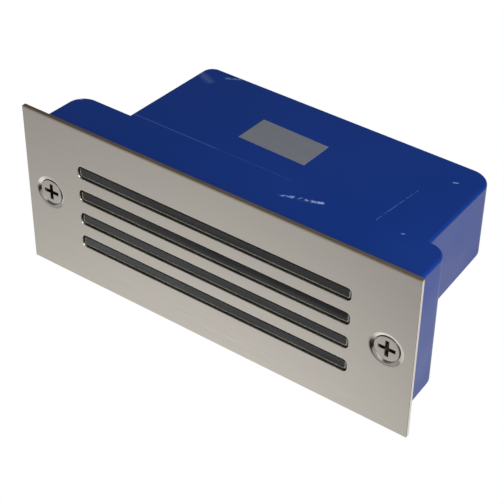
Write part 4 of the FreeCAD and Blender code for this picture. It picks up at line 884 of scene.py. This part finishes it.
floor_strength = add(floor_tree, "ShaderNodeMath", operation="MAXIMUM")
floor_seen = add(floor_tree, "ShaderNodeMath", operation="MAXIMUM")
floor_any = add(floor_tree, "ShaderNodeMath", operation="MAXIMUM")
floor_glow = add(floor_tree, "ShaderNodeEmission", inputs={"Color": (1, 1, 1, 1)})
floor_mix = add(floor_tree, "ShaderNodeMixShader")
floor_tree.links.new(floor_place.outputs["Object"], floor_across.inputs[0])
floor_tree.links.new(floor_across.outputs["Value"], floor_square.inputs[0])
floor_tree.links.new(floor_across.outputs["Value"], floor_square.inputs[1])
floor_tree.links.new(floor_square.outputs["Value"], floor_sides.inputs["Value"])
floor_tree.links.new(floor_place.outputs["Object"], floor_axes.inputs["Vector"])
floor_tree.links.new(floor_axes.outputs["Y"], floor_front.inputs["Value"])
floor_tree.links.new(floor_place.outputs["Object"], floor_reach.inputs[0])
floor_tree.links.new(floor_reach.outputs["Value"], floor_far.inputs["Value"])
floor_tree.links.new(floor_across.outputs["Value"], floor_right.inputs["Value"])
floor_tree.links.new(floor_sides.outputs["Result"], floor_width.inputs[0])
floor_tree.links.new(floor_right.outputs["Result"], floor_width.inputs[1])
floor_tree.links.new(floor_width.outputs["Value"], floor_near.inputs[0])
floor_tree.links.new(floor_front.outputs["Result"], floor_near.inputs[1])
floor_tree.links.new(floor_near.outputs["Value"], floor_tone.inputs["A"])
floor_tree.links.new(floor_far.outputs["Result"], floor_tone.inputs["Factor"])
floor_tree.links.new(floor_tone.outputs["Result"], floor_strength.inputs[0])
floor_tree.links.new(floor_path.outputs["Is Camera Ray"], floor_strength.inputs[1])
floor_tree.links.new(floor_strength.outputs["Value"], floor_glow.inputs["Strength"])
floor_tree.links.new(floor_path.outputs["Is Camera Ray"], floor_seen.inputs[0])
floor_tree.links.new(floor_path.outputs["Is Glossy Ray"], floor_seen.inputs[1])
floor_tree.links.new(floor_seen.outputs["Value"], floor_any.inputs[0])
floor_tree.links.new(floor_path.outputs["Is Transmission Ray"], floor_any.inputs[1])
floor_tree.links.new(floor_any.outputs["Value"], floor_mix.inputs["Fac"])
floor_tree.links.new(floor_tree.nodes["Principled BSDF"].outputs["BSDF"], floor_mix.inputs[1])
floor_tree.links.new(floor_glow.outputs["Emission"], floor_mix.inputs[2])
floor_tree.links.new(
    floor_mix.outputs["Shader"], floor_tree.nodes["Material Output"].inputs["Surface"])
floor_mesh.materials.append(floor_white)
print("floor at", FLOOR_Z)

# %% World and lamp
world = bpy.data.worlds.new("studio")
bpy.context.scene.world = world
world.use_nodes = True
sky = world.node_tree
sky.nodes.clear()
sky_place = add(sky, "ShaderNodeTexCoord")
sky_split = add(sky, "ShaderNodeSeparateXYZ")
sky_height = add(sky, "ShaderNodeMapRange",
                 inputs={"From Min": -0.10, "From Max": 0.10, "To Min": 0.26, "To Max": 0.10})
sky_front = add(
    sky, "ShaderNodeVectorMath", operation="DOT_PRODUCT", inputs={1: (0.17, -0.98, 0.10)})
sky_card = add(sky, "ShaderNodeMapRange", interpolation_type="SMOOTHSTEP",
               inputs={"From Min": 0.88, "From Max": 0.97, "To Min": 0.0, "To Max": 0.75})
sky_mirrored = add(sky, "ShaderNodeMath", operation="MAXIMUM")
sky_path = add(sky, "ShaderNodeLightPath")
sky_soft = add(sky, "ShaderNodeMix", data_type="FLOAT", inputs={"B": 0.30})
sky_camera = add(sky, "ShaderNodeMix", data_type="FLOAT", inputs={"B": 1.0})
sky_light = add(sky, "ShaderNodeBackground", inputs={"Color": (1, 1, 1, 1)})
sky_out = add(sky, "ShaderNodeOutputWorld")
sky.links.new(sky_place.outputs["Generated"], sky_split.inputs["Vector"])
sky.links.new(sky_split.outputs["Z"], sky_height.inputs["Value"])
sky.links.new(sky_path.outputs["Is Camera Ray"], sky_camera.inputs["Factor"])
sky.links.new(sky_path.outputs["Is Diffuse Ray"], sky_soft.inputs["Factor"])
sky.links.new(sky_place.outputs["Generated"], sky_front.inputs[0])
sky.links.new(sky_front.outputs["Value"], sky_card.inputs["Value"])
sky.links.new(sky_height.outputs["Result"], sky_mirrored.inputs[0])
sky.links.new(sky_card.outputs["Result"], sky_mirrored.inputs[1])
sky.links.new(sky_mirrored.outputs["Value"], sky_soft.inputs["A"])
sky.links.new(sky_soft.outputs["Result"], sky_camera.inputs["A"])
sky.links.new(sky_camera.outputs["Result"], sky_light.inputs["Strength"])
sky.links.new(sky_light.outputs["Background"], sky_out.inputs["Surface"])


def lamp(name, where, aim, size, power):
    """A square soft box that points at a spot."""
    data = bpy.data.lights.new(name, "AREA")
    data.size = size
    data.energy = power
    lamp_object = bpy.data.objects.new(name, data)
    lamp_object.location = where
    lamp_object.rotation_euler = (Vector(where) - Vector(aim)).to_track_quat("Z", "Y").to_euler()
    bpy.context.scene.collection.objects.link(lamp_object)
    print("lamp", name, "at", where)


lamp("key", (0.34, -0.14, 0.25), (0, 0.02, 0), 0.28, 2.6)

# %% Finish
bpy.context.scene.view_settings.view_transform = "Standard"
